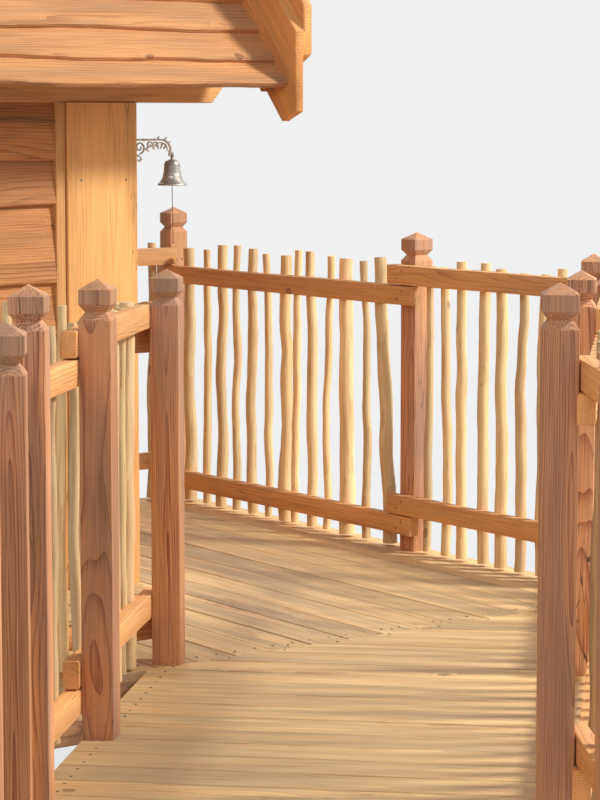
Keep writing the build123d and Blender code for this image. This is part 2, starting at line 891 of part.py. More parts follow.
# Bell on its bracket, beside the cabin's front right corner
bar_level = deck_top + bracket_level
bell_y = bell_from_front
bell_x = bell_reach
mouth_level = deck_top + bell_mouth_level
crown_level = mouth_level + bell_height
pin_level = crown_level + 16
plate_w, plate_t, plate_h = bracket_plate
bell_axis = Plane.XZ.offset(-bell_y)

with BuildPart() as bell_bracket:
    with BuildSketch(Plane.YZ):
        with Locations((bell_y, bar_level - plate_h / 3)):
            Rectangle(plate_w, plate_h)
    extrude(amount=plate_t)
    with BuildSketch(Plane.YZ):
        with Locations((bell_y, bar_level)):
            Rectangle(bracket_bar, bracket_bar)
    extrude(amount=bell_x + 30)
    with BuildSketch(Plane.YZ.offset(bell_x - 14)):
        with Locations((bell_y, (bar_level + pin_level) / 2)):
            SlotOverall(bar_level - pin_level + 12, 12, rotation=90)
    extrude(amount=6)
    with BuildSketch(Plane.YZ.offset(bell_x - 14)):
        with Locations((bell_y, pin_level)):
            Circle(pin_radius)
    extrude(amount=22)
    with BuildSketch(bell_axis):
        with BuildLine():
            ThreePointArc((plate_t, bar_level - 100), (60, bar_level - 70), (90, bar_level - 2))
        trace(line_width=8)
    extrude(amount=4, both=True)
save(bell_bracket.part, "bell_bracket")

# The bell's outside and inside as straight runs: radius and height above the mouth, from the mouth up
clapper_level = crown_level - 16
bell_runs = [(56, 0), (54, 8), (42, 20), (35, 36), (32, 66), (29, 84), (16, 98)]
hollow_runs = [(52, 0), (49, 8), (37, 20), (30, 36), (27, 66), (24, 82), (12, 92)]


def turned(runs):
    """A many-sided solid of revolution in tapering stretches, standing on the bell's mouth level."""
    with BuildPart() as solid:
        for (radius, level), (next_radius, next_level) in zip(runs, runs[1:]):
            with BuildSketch(Plane((bell_x, bell_y, mouth_level + level))):
                RegularPolygon(radius, bell_sides, major_radius=False)
            rise = next_level - level
            extrude(amount=rise, taper=degrees(atan2(radius - next_radius, rise)))
    return solid.part


with BuildPart() as bell:
    add(turned(bell_runs))
    add(turned(hollow_runs), mode=Mode.SUBTRACT)
    with BuildSketch(Plane.YZ.offset(bell_x - 4)):
        with Locations((bell_y, pin_level)):
            RegularPolygon(pin_radius + 6, 16)
        with Locations((bell_y, (pin_level + crown_level) / 2 - 3)):
            Rectangle(12, pin_level - crown_level + 2)
        with Locations((bell_y, pin_level)):
            Circle(pin_radius + pin_clearance, mode=Mode.SUBTRACT)
    extrude(amount=8)
    with BuildSketch(Plane.YZ.offset(bell_x - 8)):
        with Locations((bell_y, clapper_level)):
            Circle(clapper_pin_radius)
    extrude(amount=13)
    with BuildSketch(Plane.YZ.offset(bell_x - 8)):
        with Locations((bell_y, (clapper_level + crown_level) / 2 - 1)):
            Rectangle(2 * clapper_pin_radius, crown_level - clapper_level)
    extrude(amount=4)
save(bell.part, "bell")

# Clapper on a small pin under the crown, and the cord that hangs from it
clapper_end = clapper_level - clapper_length
ball_middle = clapper_end + clapper_ball + 8
with BuildPart() as clapper:
    with BuildSketch(Plane.YZ.offset(bell_x - 2)):
        with Locations((bell_y, clapper_level)):
            RegularPolygon(clapper_pin_radius + 4, 16)
            Circle(clapper_pin_radius + pin_clearance, mode=Mode.SUBTRACT)
    extrude(amount=4)
    with BuildSketch(Plane.XY.offset(clapper_end)):
        with Locations((bell_x, bell_y)):
            RegularPolygon(2.5, 8)
    extrude(amount=clapper_level - clapper_end - clapper_pin_radius - 1)
    for direction in (1, -1):
        with BuildSketch(Plane((bell_x, bell_y, ball_middle), z_dir=(0, 0, direction))):
            RegularPolygon(clapper_ball, 12)
        extrude(amount=clapper_ball, taper=24)
save(clapper.part, "clapper")

cord_start = clapper_end
cord_route = [
    (bell_x, bell_y, cord_start),
    (bell_x, bell_y, cord_start - 50),
    (bell_x + 1, bell_y - 1, cord_start - 105),
    (bell_x + 3, bell_y + 1, cord_start - 160),
    (bell_x + 4, bell_y + 2, cord_start - cord_length),
]


def arc_radii(route):
    """For each corner of a cord's route, the largest arc that its two runs allow."""
    points = [Vector(*point) for point in route]
    radii = []
    for before, corner, after in zip(points, points[1:], points[2:]):
        turn = radians((corner - before).get_angle(after - corner))
        radii.append(0.45 * min((corner - before).length, (after - corner).length) / tan(turn / 2))
    return radii


cord_radii = arc_radii(cord_route)
print("bell cord radii", [round(radius) for radius in cord_radii])
with BuildPart() as bell_cord:
    with BuildLine() as cord_path:
        FilletPolyline(*cord_route, radius=cord_radii)
    with BuildSketch(Plane(cord_route[0], z_dir=(0, 0, -1))):
        Circle(cord_diameter / 2)
    sweep()
cord_section = pi * cord_diameter**2 / 4
cord_run = sum(edge.length for edge in cord_path.edges())
print("bell cord length", round(cord_run, 1), "from its volume", round(bell_cord.part.volume / cord_section, 1))
save(bell_cord.part, "bell_cord")
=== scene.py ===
"""Dresses the tree house: boards, carved posts, crooked railing sticks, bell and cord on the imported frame."""
import random
from math import cos, dist, pi, radians, sin, tan

import bmesh
import bpy
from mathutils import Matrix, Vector, noise


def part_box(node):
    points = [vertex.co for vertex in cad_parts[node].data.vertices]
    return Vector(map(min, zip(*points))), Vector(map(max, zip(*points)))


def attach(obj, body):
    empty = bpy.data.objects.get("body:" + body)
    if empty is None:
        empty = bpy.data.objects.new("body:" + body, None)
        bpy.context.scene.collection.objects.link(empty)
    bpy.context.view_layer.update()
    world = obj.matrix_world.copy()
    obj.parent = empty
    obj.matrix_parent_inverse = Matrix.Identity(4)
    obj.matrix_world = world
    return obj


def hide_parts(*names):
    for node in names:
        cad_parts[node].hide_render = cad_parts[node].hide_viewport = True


bl_info = {
    "name": "Tree house",
    "version": (1, 0, 0),
    "blender": (4, 5, 0),
    "location": "3D View > Sidebar > Tree house",
    "description": "Builds the boards, railings, bell and materials of a timber tree house",
    "category": "Object",
}

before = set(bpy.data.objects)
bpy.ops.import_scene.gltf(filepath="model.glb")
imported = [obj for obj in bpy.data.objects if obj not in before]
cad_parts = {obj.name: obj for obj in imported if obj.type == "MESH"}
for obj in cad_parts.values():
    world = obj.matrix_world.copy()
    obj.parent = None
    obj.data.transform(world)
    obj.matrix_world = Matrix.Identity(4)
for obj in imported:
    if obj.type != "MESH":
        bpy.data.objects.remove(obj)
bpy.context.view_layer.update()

# The plan and the levels of the solids, in metres. HALF is half a post's width. The slants are the headings
# of the footbridge's two stretches, and the lines are where its rows of posts stand, left of the origin.
DECK, DECK_THICK = 3.0, 0.032
HALF = 0.045
SLANT, SECOND_SLANT = radians(46), radians(57)
LEFT_LINE, RIGHT_LINE = -0.375, -1.667
SECOND_BAY, SECOND_BAYS = 0.88, 4
FENCE_X, FENCE_BACK, FENCE_LEFT = 1.279, 1.729, -2.955
CABIN_LENGTH, CABIN_DEPTH, CABIN_BOARD = 3.0, 2.2, 0.12
CLADDING, WALL_TOP = 0.045, DECK + 1.78
PITCH = radians(48)
EAVE_OVERHANG, GABLE_OVERHANG, EAVE_LEVEL = 0.34, 0.41, DECK + 1.816
FIRST_COURSE, COURSE, BUTT, HEAD, SETBACK = 0.122, 0.148, 0.052, 0.024, 0.045
POST = 1.27
RAIL_HEIGHT, RAIL_THICK, RAIL_LAP = 0.075, 0.046, 0.075
RAIL_LEVELS, LAPPED_STEP = (0.07, 0.99), 0.08
STICK_RADIUS, STICK_TOP = 0.017, RAIL_LEVELS[1] + RAIL_HEIGHT + 0.095
BELL_X, BELL_Y, BELL_MOUTH = 0.190, 0.060, DECK + 1.474
CROWN = BELL_MOUTH + 0.098
PIN_LEVEL, CLAPPER_PIN = CROWN + 0.016, CROWN - 0.016
CLAPPER_END = CLAPPER_PIN - 0.084
BAR_LEVEL = DECK + 1.644
UP, ALONG_X = (0, 0, 1), (1, 0, 0)


# ---------------------------------------------------------------- plan
def along(start, end, distance, offset=0.0):
    """A plan point at a distance from start towards end, and offset to the left of that line."""
    length = dist(start, end)
    ux, uy = (end[0] - start[0]) / length, (end[1] - start[1]) / length
    return (start[0] + ux * distance - uy * offset, start[1] + uy * distance + ux * offset)


def bridge_point(back, line):
    """A plan point on the footbridge's first stretch: how far back, and on which line."""
    return (-back * cos(SLANT) - line * sin(SLANT), -back * sin(SLANT) + line * cos(SLANT))


def second_stretch(corner):
    """The posts of the footbridge's second stretch, from its corner post outwards."""
    reaches = [SECOND_BAY * bays for bays in range(1, SECOND_BAYS + 1)]
    return [(corner[0] - r * cos(SECOND_SLANT), corner[1] - r * sin(SECOND_SLANT)) for r in reaches]


D, C, B = (bridge_point(back, LEFT_LINE) for back in (1.361, 2.339, 3.106))
I, E = (bridge_point(back, RIGHT_LINE) for back in (1.322, 3.006))
H = (FENCE_X, (RIGHT_LINE + FENCE_X * sin(SLANT)) / cos(SLANT))
LEFT_FAR, RIGHT_FAR = second_stretch(B), second_stretch(E)
G, F, K = (FENCE_X, -0.042), (FENCE_X, FENCE_BACK), (HALF, FENCE_BACK)
L, M, J = (FENCE_LEFT, D[1]), ((D[0] + FENCE_LEFT) / 2, D[1]), (FENCE_LEFT, -HALF)
BEND = (SLANT + SECOND_SLANT) / 2
# node: foot, heading and what it is taller than a plain post by, for each post
POSTS = {
    "left_bridge_posts": [(D, SLANT, -0.015), (C, SLANT, 0.015), (B, BEND, 0.05)]
    + [(foot, SECOND_SLANT, 0.03 - 0.025 * (bay % 2)) for bay, foot in enumerate(LEFT_FAR)],
    "right_bridge_posts": [(H, SLANT, -0.035), (I, SLANT, -0.01), (E, BEND, 0.06)]
    + [(foot, SECOND_SLANT, 0.01 + 0.02 * (bay % 2)) for bay, foot in enumerate(RIGHT_FAR)],
    "terrace_posts": [(G, 0, 0.005), (F, 0, 0.055), (K, 0, 0.02), (M, 0, -0.005), (L, 0, 0.03), (J, 0, 0.01)],
}
RAIL_OUT = HALF + RAIL_THICK / 2
STICK_OUT = HALF + RAIL_THICK + STICK_RADIUS - 0.006
STICK_IN = HALF - STICK_RADIUS + 0.006
SIDE_TURNED = HALF * (1 - sin(SLANT)) / cos(SLANT) + 0.0003
FRONT_TURNED = HALF * (1 - cos(SLANT)) / sin(SLANT) + 0.0003


def bridge_bays(names, feet, side):
    """The bays along a row of bridge posts. Every other one has its rails lapped above its neighbours'."""
    return {
        "bridge_panel_" + name: (far, near, bay % 2 == 0, side * RAIL_OUT, side * STICK_OUT, RAIL_LAP, RAIL_LAP)
        for bay, (name, near, far) in enumerate(zip(names, feet, feet[1:]))
    }


# node: start, end, whether its rails are lapped above, rails' side, sticks' side, laps at both ends
PANELS = {
    **bridge_bays(("dc", "cb", "ba", "az", "zw", "wv"), [D, C, B, *LEFT_FAR], 1),
    **bridge_bays(("hi", "ie", "ey", "yx", "xu", "ut"), [H, I, E, *RIGHT_FAR], -1),
    "terrace_panel_gh": (H, G, True, RAIL_OUT, STICK_IN, -SIDE_TURNED, RAIL_LAP),
    "terrace_panel_fg": (G, F, False, RAIL_OUT, STICK_IN, RAIL_LAP, 0),
    "terrace_panel_kf": (F, K, True, RAIL_OUT, STICK_IN, -HALF, HALF),
    "terrace_panel_jl": (J, L, False, RAIL_OUT, STICK_IN, HALF, 0),
    "terrace_panel_lm": (L, M, True, RAIL_OUT, STICK_IN, -HALF, RAIL_LAP),
    "terrace_panel_md": (M, D, False, RAIL_OUT, STICK_IN, RAIL_LAP, -FRONT_TURNED),
}
# Foot and head of each stick in millimetres from the bay's start, and for stout ones how stout
SET_STICKS = {
    "terrace_panel_gh": [
        (151, 145), (250, 239), (348, 352), (474, 467), (565, 573), (712, 704), (800, 808), (915, 907),
    ],
    "terrace_panel_fg": [
        (118, 182, 1.4), (285, 288), (406, 417, 1.55), (561, 534), (661, 667), (772, 760), (866, 847),
        (968, 979), (1101, 1092), (1217, 1214), (1336, 1330), (1455, 1448), (1577, 1585),
    ],
}
# Lower edges of the lapped wall boards over the deck, as far as the photo shows them
COURSE_EDGES = (0, 0.20, 0.43, 0.66, 0.89, 1.13, 1.41, 1.57, 1.70)
# Openings in the boarding: first edge, width, and sill and head over the deck
CASING = 0.03
FRONT_WINDOW = (-CABIN_LENGTH + CLADDING + 0.85, 0.52, 0.80, 1.36)
GABLE_WINDOW = (CABIN_DEPTH / 2 - 0.26, 0.52, 0.80, 1.36)
DOORWAY = (0.64, 0.72, -1, 1.64)
# The camera fitted to the photo's post heads and feet
CAMERA_PLACE = (-4.949, -7.863, DECK + 1.7217)
CAMERA_HEADING, CAMERA_DOWN = radians(54.13), radians(6.384)
FOCAL_PIXELS, PHOTO_HEIGHT, SENSOR = 2514.5, 800, 36


def waver(number, reach):
    """The same uneven value between -reach and reach as in the solids."""
    return reach * sin(number * 2.399 + 0.7 * sin(number * 1.71))


def stick_seed(number, start, end):
    """What a stick's unevenness is worked out from, the same as in the solids."""
    return number + start[0] * 13 + end[1] * 7


def under_roof(y):
    """Height of the roof's underside at a distance y from the front."""
    return EAVE_LEVEL + (min(y, CABIN_DEPTH - y) + EAVE_OVERHANG) * tan(PITCH)


def steps(first, last, pitch):
    """Places from the first to before the last, a pitch apart."""
    while (last - first) * pitch > 0:
        yield first
        first += pitch


# ---------------------------------------------------------------- nodes
class Graph:
    """A node tree, with short calls for the nodes that it is built from."""

    def __init__(self, tree):
        self.tree = tree

    def put(self, kind, inputs=(), **options):
        """Adds a node with its options, and links or sets its inputs by name or number."""
        made = self.tree.nodes.new(kind)
        for name, value in options.items():
            setattr(made, name, value)
        for key, value in dict(inputs).items():
            if isinstance(value, bpy.types.NodeSocket):
                self.tree.links.new(value, made.inputs[key])
            else:
                made.inputs[key].default_value = value
        return made

    def get(self, kind, inputs=(), **options):
        """Adds a node and gives its first output."""
        return self.put(kind, inputs, **options).outputs[0]

    def calc(self, operation, *values, clamp=False):
        return self.get("ShaderNodeMath", enumerate(values), operation=operation, use_clamp=clamp)

    def plus(self, a, b, clamp=False):
        return self.calc("ADD", a, b, clamp=clamp)

    def minus(self, a, b):
        return self.calc("SUBTRACT", a, b)

    def times(self, a, b, clamp=False):
        return self.calc("MULTIPLY", a, b, clamp=clamp)

    def vec(self, operation, *values):
        made = self.put("ShaderNodeVectorMath", enumerate(values), operation=operation)
        return made.outputs[1 if operation == "LENGTH" else 0]

    def axes(self, vector, x, y, z):
        """A vector with each axis multiplied by its own factor."""
        return self.vec("MULTIPLY", vector, (x, y, z))

    def scaled(self, vector, factor):
        return self.get("ShaderNodeVectorMath", {0: vector, "Scale": factor}, operation="SCALE")

    def ramp(self, value, low, high, to_low=0.0, to_high=1.0, smooth=True):
        """A value mapped from low..high to another range, clamped."""
        values = enumerate((value, low, high, to_low, to_high))
        return self.get("ShaderNodeMapRange", values, interpolation_type="SMOOTHSTEP" if smooth else "LINEAR")

    def mixed(self, factor, a, b, blend="MIX"):
        made = self.put("ShaderNodeMix", {0: factor, 6: a, 7: b}, data_type="RGBA", blend_type=blend)
        return made.outputs[2]

    def noise(self, place, scale, detail=2.0, output=0):
        made = self.put("ShaderNodeTexNoise", {"Vector": place, "Scale": scale, "Detail": detail})
        return made.outputs[output]

    def fibre(self, place, lengthwise, across, detail=2.0, output=0):
        """Noise drawn out along the grain."""
        return self.noise(self.axes(place, lengthwise, across, across), 1.0, detail, output)

    def join(self, inputs, **values):
        """Links values to the inputs of their names, where _ stands for a space."""
        for label, value in values.items():
            self.tree.links.new(value, inputs[label.replace("_", " ")])
        return self.tree

    def bump(self, shader, height, distance):
        """Roughens a shader's normals by a height."""
        bumps = {"Height": height, "Strength": 1.0, "Distance": distance}
        self.join(shader.inputs, Normal=self.get("ShaderNodeBump", bumps))

    def attribute(self, name, output):
        made = self.put("ShaderNodeAttribute", attribute_type="GEOMETRY", attribute_name=name)
        return made.outputs[output]

    def object_place(self):
        return self.put("ShaderNodeTexCoord").outputs["Object"]

    def named(self, name, kind="FLOAT"):
        return self.get("GeometryNodeInputNamedAttribute", {"Name": name}, data_type=kind)

    def stored(self, geometry, name, value, kind="FLOAT"):
        inputs = {"Geometry": geometry, "Name": name, "Value": value}
        return self.get("GeometryNodeStoreNamedAttribute", inputs, data_type=kind)

    def grow(self, geometry, given, out):
        """Ends a growth: real geometry in the given material."""
        made = self.get("GeometryNodeRealizeInstances", {0: geometry})
        made = self.get("GeometryNodeSetMaterial", {"Geometry": made, "Material": given["Material"]})
        return self.join(out, Geometry=made)


def new_group(name, kind, inputs, outputs):
    """A node group: its graph, the values given to it, and the sockets for its results."""
    tree = bpy.data.node_groups.new(name, kind)
    for way, sockets in (("INPUT", inputs), ("OUTPUT", outputs)):
        for label, value_kind in sockets.items():
            tree.interface.new_socket(name=label, in_out=way, socket_type="NodeSocket" + value_kind)
    return Graph(tree), tree.nodes.new("NodeGroupInput").outputs, tree.nodes.new("NodeGroupOutput").inputs


# ---------------------------------------------------------------- materials
MATERIALS = {}
SURFACE = {"Color": "Color", "Roughness": "Float", "Height": "Float"}
WOOD_INPUTS = {
    **dict.fromkeys(("Early wood", "Late wood", "Weathered"), "Color"),
    **dict.fromkeys(("Ring width", "Ring strength", "Knots", "Weathering", "Cracks"), "Float"),
}
METAL_INPUTS = {"Metal": "Color", "Dull": "Color", "Dullness": "Float"}
WOODS = {
    # name: early wood, late wood, weathered, ring width, ring strength, knots, weathering, cracks, bump
    "post_wood": ((230, 170, 122), (156, 92, 60), (150, 124, 110), 0.0055, 0.90, 0.18, 0.50, 0.80, 0.0010),
    "rail_wood": ((236, 176, 114), (184, 118, 70), (158, 130, 104), 0.0060, 0.70, 0.20, 0.25, 0.35, 0.0009),
    "stick_wood": ((247, 218, 164), (206, 152, 98), (168, 142, 114), 0.0100, 0.50, 0.22, 0.35, 0.30, 0.0008),
    "deck_wood": ((233, 197, 142), (184, 136, 88), (162, 142, 116), 0.0070, 0.66, 0.14, 0.50, 0.50, 0.0010),
    "cladding_wood": ((212, 144, 84), (148, 88, 48), (122, 96, 74), 0.0080, 0.70, 0.24, 0.35, 0.45, 0.0012),
    "corner_wood": ((236, 176, 108), (196, 130, 70), (156, 124, 92), 0.0110, 0.42, 0.12, 0.25, 0.45, 0.0010),
    "roof_wood": ((222, 158, 100), (160, 100, 60), (136, 110, 88), 0.0085, 0.66, 0.20, 0.42, 0.50, 0.0012),
    "barge_wood": ((228, 158, 90), (172, 104, 54), (144, 112, 84), 0.0080, 0.60, 0.16, 0.22, 0.40, 0.0010),
    "frame_wood": ((212, 156, 104), (158, 106, 66), (136, 114, 94), 0.0080, 0.64, 0.20, 0.38, 0.50, 0.0012),
    "pole_wood": ((220, 178, 126), (168, 118, 76), (148, 128, 106), 0.0120, 0.50, 0.24, 0.45, 0.75, 0.0014),
    "door_wood": ((212, 150, 92), (158, 100, 54), (130, 104, 80), 0.0075, 0.64, 0.18, 0.25, 0.35, 0.0010),
}
METALS = {
    # name: metal, dull, dullness, metallic
    "bell_grey": ((196, 192, 184), (140, 137, 130), 0.85, 0.60),
    "bracket_grey": ((226, 220, 208), (184, 176, 162), 0.70, 0.05),
    "clapper_dark": ((96, 92, 88), (52, 48, 45), 0.80, 0.80),
    "nail_steel": ((132, 114, 92), (90, 70, 52), 0.80, 0.80),
}
METAL_BUMP = 0.0004


def srgb(red, green, blue):
    """A colour given in the usual 0 to 255 steps, as the linear value that nodes take."""
    parts = (part / 255 for part in (red, green, blue))
    return (*(part / 12.92 if part <= 0.04045 else ((part + 0.055) / 1.055) ** 2.4 for part in parts), 1.0)


def wood_group():
    """Rings, fibre, knots, drying cracks and weathering of a piece of softwood, from its own place."""
    own = {"Place": "Vector", "Tone": "Float", "Wear": "Float"}
    g, given, out = new_group("softwood", "ShaderNodeTree", own | WOOD_INPUTS, SURFACE)
    place = given["Place"]
    # Knots: the nearest cell's middle, measured in real metres
    stretched = g.axes(place, 2.6, 8.0, 8.0)
    cells = g.put("ShaderNodeTexVoronoi", {"Vector": stretched, "Scale": 1.0}).outputs
    away = g.axes(g.vec("SUBTRACT", stretched, cells["Position"]), 0.30, 0.125, 0.125)
    distance = g.plus(g.vec("LENGTH", away), g.ramp(g.noise(place, 60.0, 1.0), 0, 1, -0.004, 0.004))
    chosen = g.calc("LESS_THAN", g.get("ShaderNodeSeparateColor", {0: cells["Color"]}), given["Knots"])
    knot = g.times(g.ramp(distance, 0.008, 0.014, 1.0, 0.0), chosen)
    rim = g.times(g.ramp(distance, 0.012, 0.05, 1.0, 0.0), chosen)
    # Growth rings round a pith that wanders, pushed aside by knots
    drift = g.fibre(place, 0.9, 5.0, output="Color")
    shift = g.axes(g.vec("SUBTRACT", drift, (0.5, 0.5, 0.5)), 0.0, 0.07, 0.07)
    push = g.scaled((0.0, 1.0, 0.6), g.times(rim, 0.022))
    bent = g.vec("ADD", g.vec("ADD", place, shift), push)
    rings = {"Vector": bent, "Scale": g.calc("DIVIDE", 0.314, given["Ring width"])}
    wave = g.put("ShaderNodeTexWave", rings, wave_type="RINGS", rings_direction="X", wave_profile="SAW")
    ring = g.calc("POWER", wave.outputs["Fac"], 3.2)
    # Fibre streaks and broad patches
    streak = g.ramp(g.fibre(place, 4.0, 260.0, 3.0), 0.34, 0.66)
    patch = g.ramp(g.fibre(place, 1.6, 9.0), 0.35, 0.68)
    late = g.times(ring, given["Ring strength"])
    late = g.plus(late, g.times(g.minus(streak, 0.45), 0.55), clamp=True)
    late = g.plus(late, g.times(g.minus(patch, 0.5), 0.30), clamp=True)
    color = g.mixed(late, given["Early wood"], given["Late wood"])
    # The tone lightens or darkens a whole piece: at random, and on the rails also as painted sunlight and shade
    light = g.ramp(given["Tone"], 0, 1, 0.80, 1.18, smooth=False)
    color = g.mixed(1.0, color, g.get("ShaderNodeCombineColor", {0: light, 1: light, 2: light}), "MULTIPLY")
    # Weathered grey in patches that follow the grain
    grey = g.plus(g.ramp(g.fibre(place, 1.1, 14.0, 4.0), 0.40, 0.66), given["Wear"])
    grey = g.times(grey, given["Weathering"], clamp=True)
    color = g.mixed(grey, color, given["Weathered"])
    # Knots are darker and redder, with a dark edge
    edge = g.minus(g.ramp(distance, 0.013, 0.018, 1.0, 0.0), g.ramp(distance, 0.008, 0.013, 1.0, 0.0))
    edge = g.times(edge, chosen)
    color = g.mixed(g.times(knot, 0.75), color, g.mixed(0.45, given["Late wood"], (0.10, 0.035, 0.015, 1)))
    color = g.mixed(g.times(edge, 0.55), color, (0.05, 0.02, 0.01, 1))
    # Drying cracks
    long_cells = {"Vector": g.vec("ADD", g.axes(place, 0.7, 20.0, 20.0), drift)}
    split = g.get("ShaderNodeTexVoronoi", long_cells, feature="DISTANCE_TO_EDGE")
    crack = g.times(g.ramp(split, 0.012, 0.03, 1.0, 0.0), g.ramp(g.fibre(place, 0.8, 5.0), 0.60, 0.68))
    crack = g.times(crack, given["Cracks"])
    height = g.plus(g.times(ring, 0.35), g.times(streak, 0.55))
    height = g.minus(g.minus(height, g.times(crack, 2.2)), g.times(edge, 0.5))
    rough = g.plus(g.ramp(streak, 0, 1, 0.58, 0.74), g.times(grey, 0.14))
    color = g.mixed(crack, color, (0.035, 0.018, 0.01, 1))
    return g.join(out, Color=color, Roughness=rough, Height=height)


def metal_group():
    """Blotches, fine pitting and worn high spots of old cast metal."""
    g, given, out = new_group("cast_metal", "ShaderNodeTree", {"Place": "Vector"} | METAL_INPUTS, SURFACE)
    blotch, pits = g.noise(given["Place"], 45.0, 4.0), g.noise(given["Place"], 420.0)
    color = g.mixed(g.times(g.ramp(blotch, 0.36, 0.64), given["Dullness"]), given["Metal"], given["Dull"])
    rough = g.ramp(blotch, 0.3, 0.7, 0.34, 0.62)
    height = g.plus(g.times(pits, 0.5), g.times(blotch, 0.4))
    return g.join(out, Color=color, Roughness=rough, Height=height)


def new_material(name, **values):
    """A new material with the values of its shader: its graph and its shader."""
    material = MATERIALS[name] = bpy.data.materials.new(name)
    material.use_nodes = True
    shader = material.node_tree.nodes["Principled BSDF"]
    for label, value in values.items():
        shader.inputs[label.replace("_", " ")].default_value = value
    return Graph(material.node_tree), shader


def finish_surface(name, group, inputs, values, bump, metallic=0.0):
    """A material whose shader takes its colour, roughness and bump from one group."""
    g, shader = new_material(name, Metallic=metallic)
    made = g.put("ShaderNodeGroup", node_tree=group)
    for (label, kind), value in zip(inputs.items(), values):
        made.inputs[label].default_value = srgb(*value) if kind == "Color" else value
    wooden = "Wear" in made.inputs
    g.join(made.inputs, Place=g.attribute("place", "Vector") if wooden else g.object_place())
    if wooden:
        g.join(made.inputs, Tone=g.attribute("tone", "Fac"), Wear=g.attribute("wear", "Fac"))
    g.join(shader.inputs, Base_Color=made.outputs["Color"], Roughness=made.outputs["Roughness"])
    g.bump(shader, made.outputs["Height"], bump)


def make_materials():
    softwood, cast = wood_group(), metal_group()
    for name, (*values, bump) in WOODS.items():
        finish_surface(name, softwood, WOOD_INPUTS, values, bump)
    for name, (*values, metallic) in METALS.items():
        finish_surface(name, cast, METAL_INPUTS, values, METAL_BUMP, metallic)
    # Dark twisted cord: slanted strands round the cord, in its own length and girth
    g, shader = new_material("cord_twist", Roughness=0.85)
    place = g.axes(g.put("ShaderNodeTexCoord").outputs["UV"], 34.0, 1.0, 1.0)
    strands = {"Vector": place, "Scale": 1.0, "Distortion": 0.6, "Detail": 1.0}
    wave = g.put("ShaderNodeTexWave", strands, bands_direction="DIAGONAL").outputs["Fac"]
    g.join(shader.inputs, Base_Color=g.mixed(wave, srgb(70, 58, 46), srgb(142, 122, 94)))
    g.bump(shader, wave, 0.0004)
    # Clear pane glass with a faint unevenness
    glass = {"Base_Color": (0.92, 0.96, 0.95, 1), "Transmission_Weight": 1.0, "Roughness": 0.03}
    g, shader = new_material("pane_glass", **glass)
    g.bump(shader, g.noise(g.object_place(), 9.0), 0.0006)


# ---------------------------------------------------------------- meshes
def link(obj):
    bpy.context.scene.collection.objects.link(obj)
    return obj


def seat(piece, body, slot, material, *nodes, crease=35):
    """Gives a finished mesh piece its material and its body, and hides the nodes that it stands for. The slot is not
    used.
    """
    piece.data.materials.clear()
    piece.data.materials.append(MATERIALS[material])
    piece.data.polygons.foreach_set("use_smooth", [True] * len(piece.data.polygons))
    piece.data.set_sharp_from_angle(angle=radians(crease))
    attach(piece, body)
    if nodes:
        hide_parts(*nodes)
    return piece


def from_work(work, name):
    """Turns a working mesh into an object, with its faces turned outwards."""
    bmesh.ops.recalc_face_normals(work, faces=work.faces)
    mesh = bpy.data.meshes.new(name)
    work.to_mesh(mesh)
    work.free()
    return link(bpy.data.objects.new(name, mesh))


def rounded(width, depth, radius, turns=2):
    """A rectangle with rounded corners, as points round its middle."""
    ring = []
    for corner, (sx, sy) in enumerate(((1, 1), (-1, 1), (-1, -1), (1, -1))):
        for turn in range(turns + 1):
            a = pi / 2 * (corner + turn / turns)
            ring.append((sx * (width / 2 - radius) + radius * cos(a), sy * (depth / 2 - radius) + radius * sin(a)))
    return ring


def round_angles(sides):
    """The directions of equal steps round a circle."""
    return [2 * pi * k / sides for k in range(sides)]


def trunk(chance, aside, low, high):
    """A fresh stretch of a trunk, with its pith somewhere beside the timber."""
    stretch, across = chance.uniform(0, 40), chance.uniform(-aside, aside)
    return Vector((stretch, across, chance.choice((-1, 1)) * chance.uniform(low, high)))


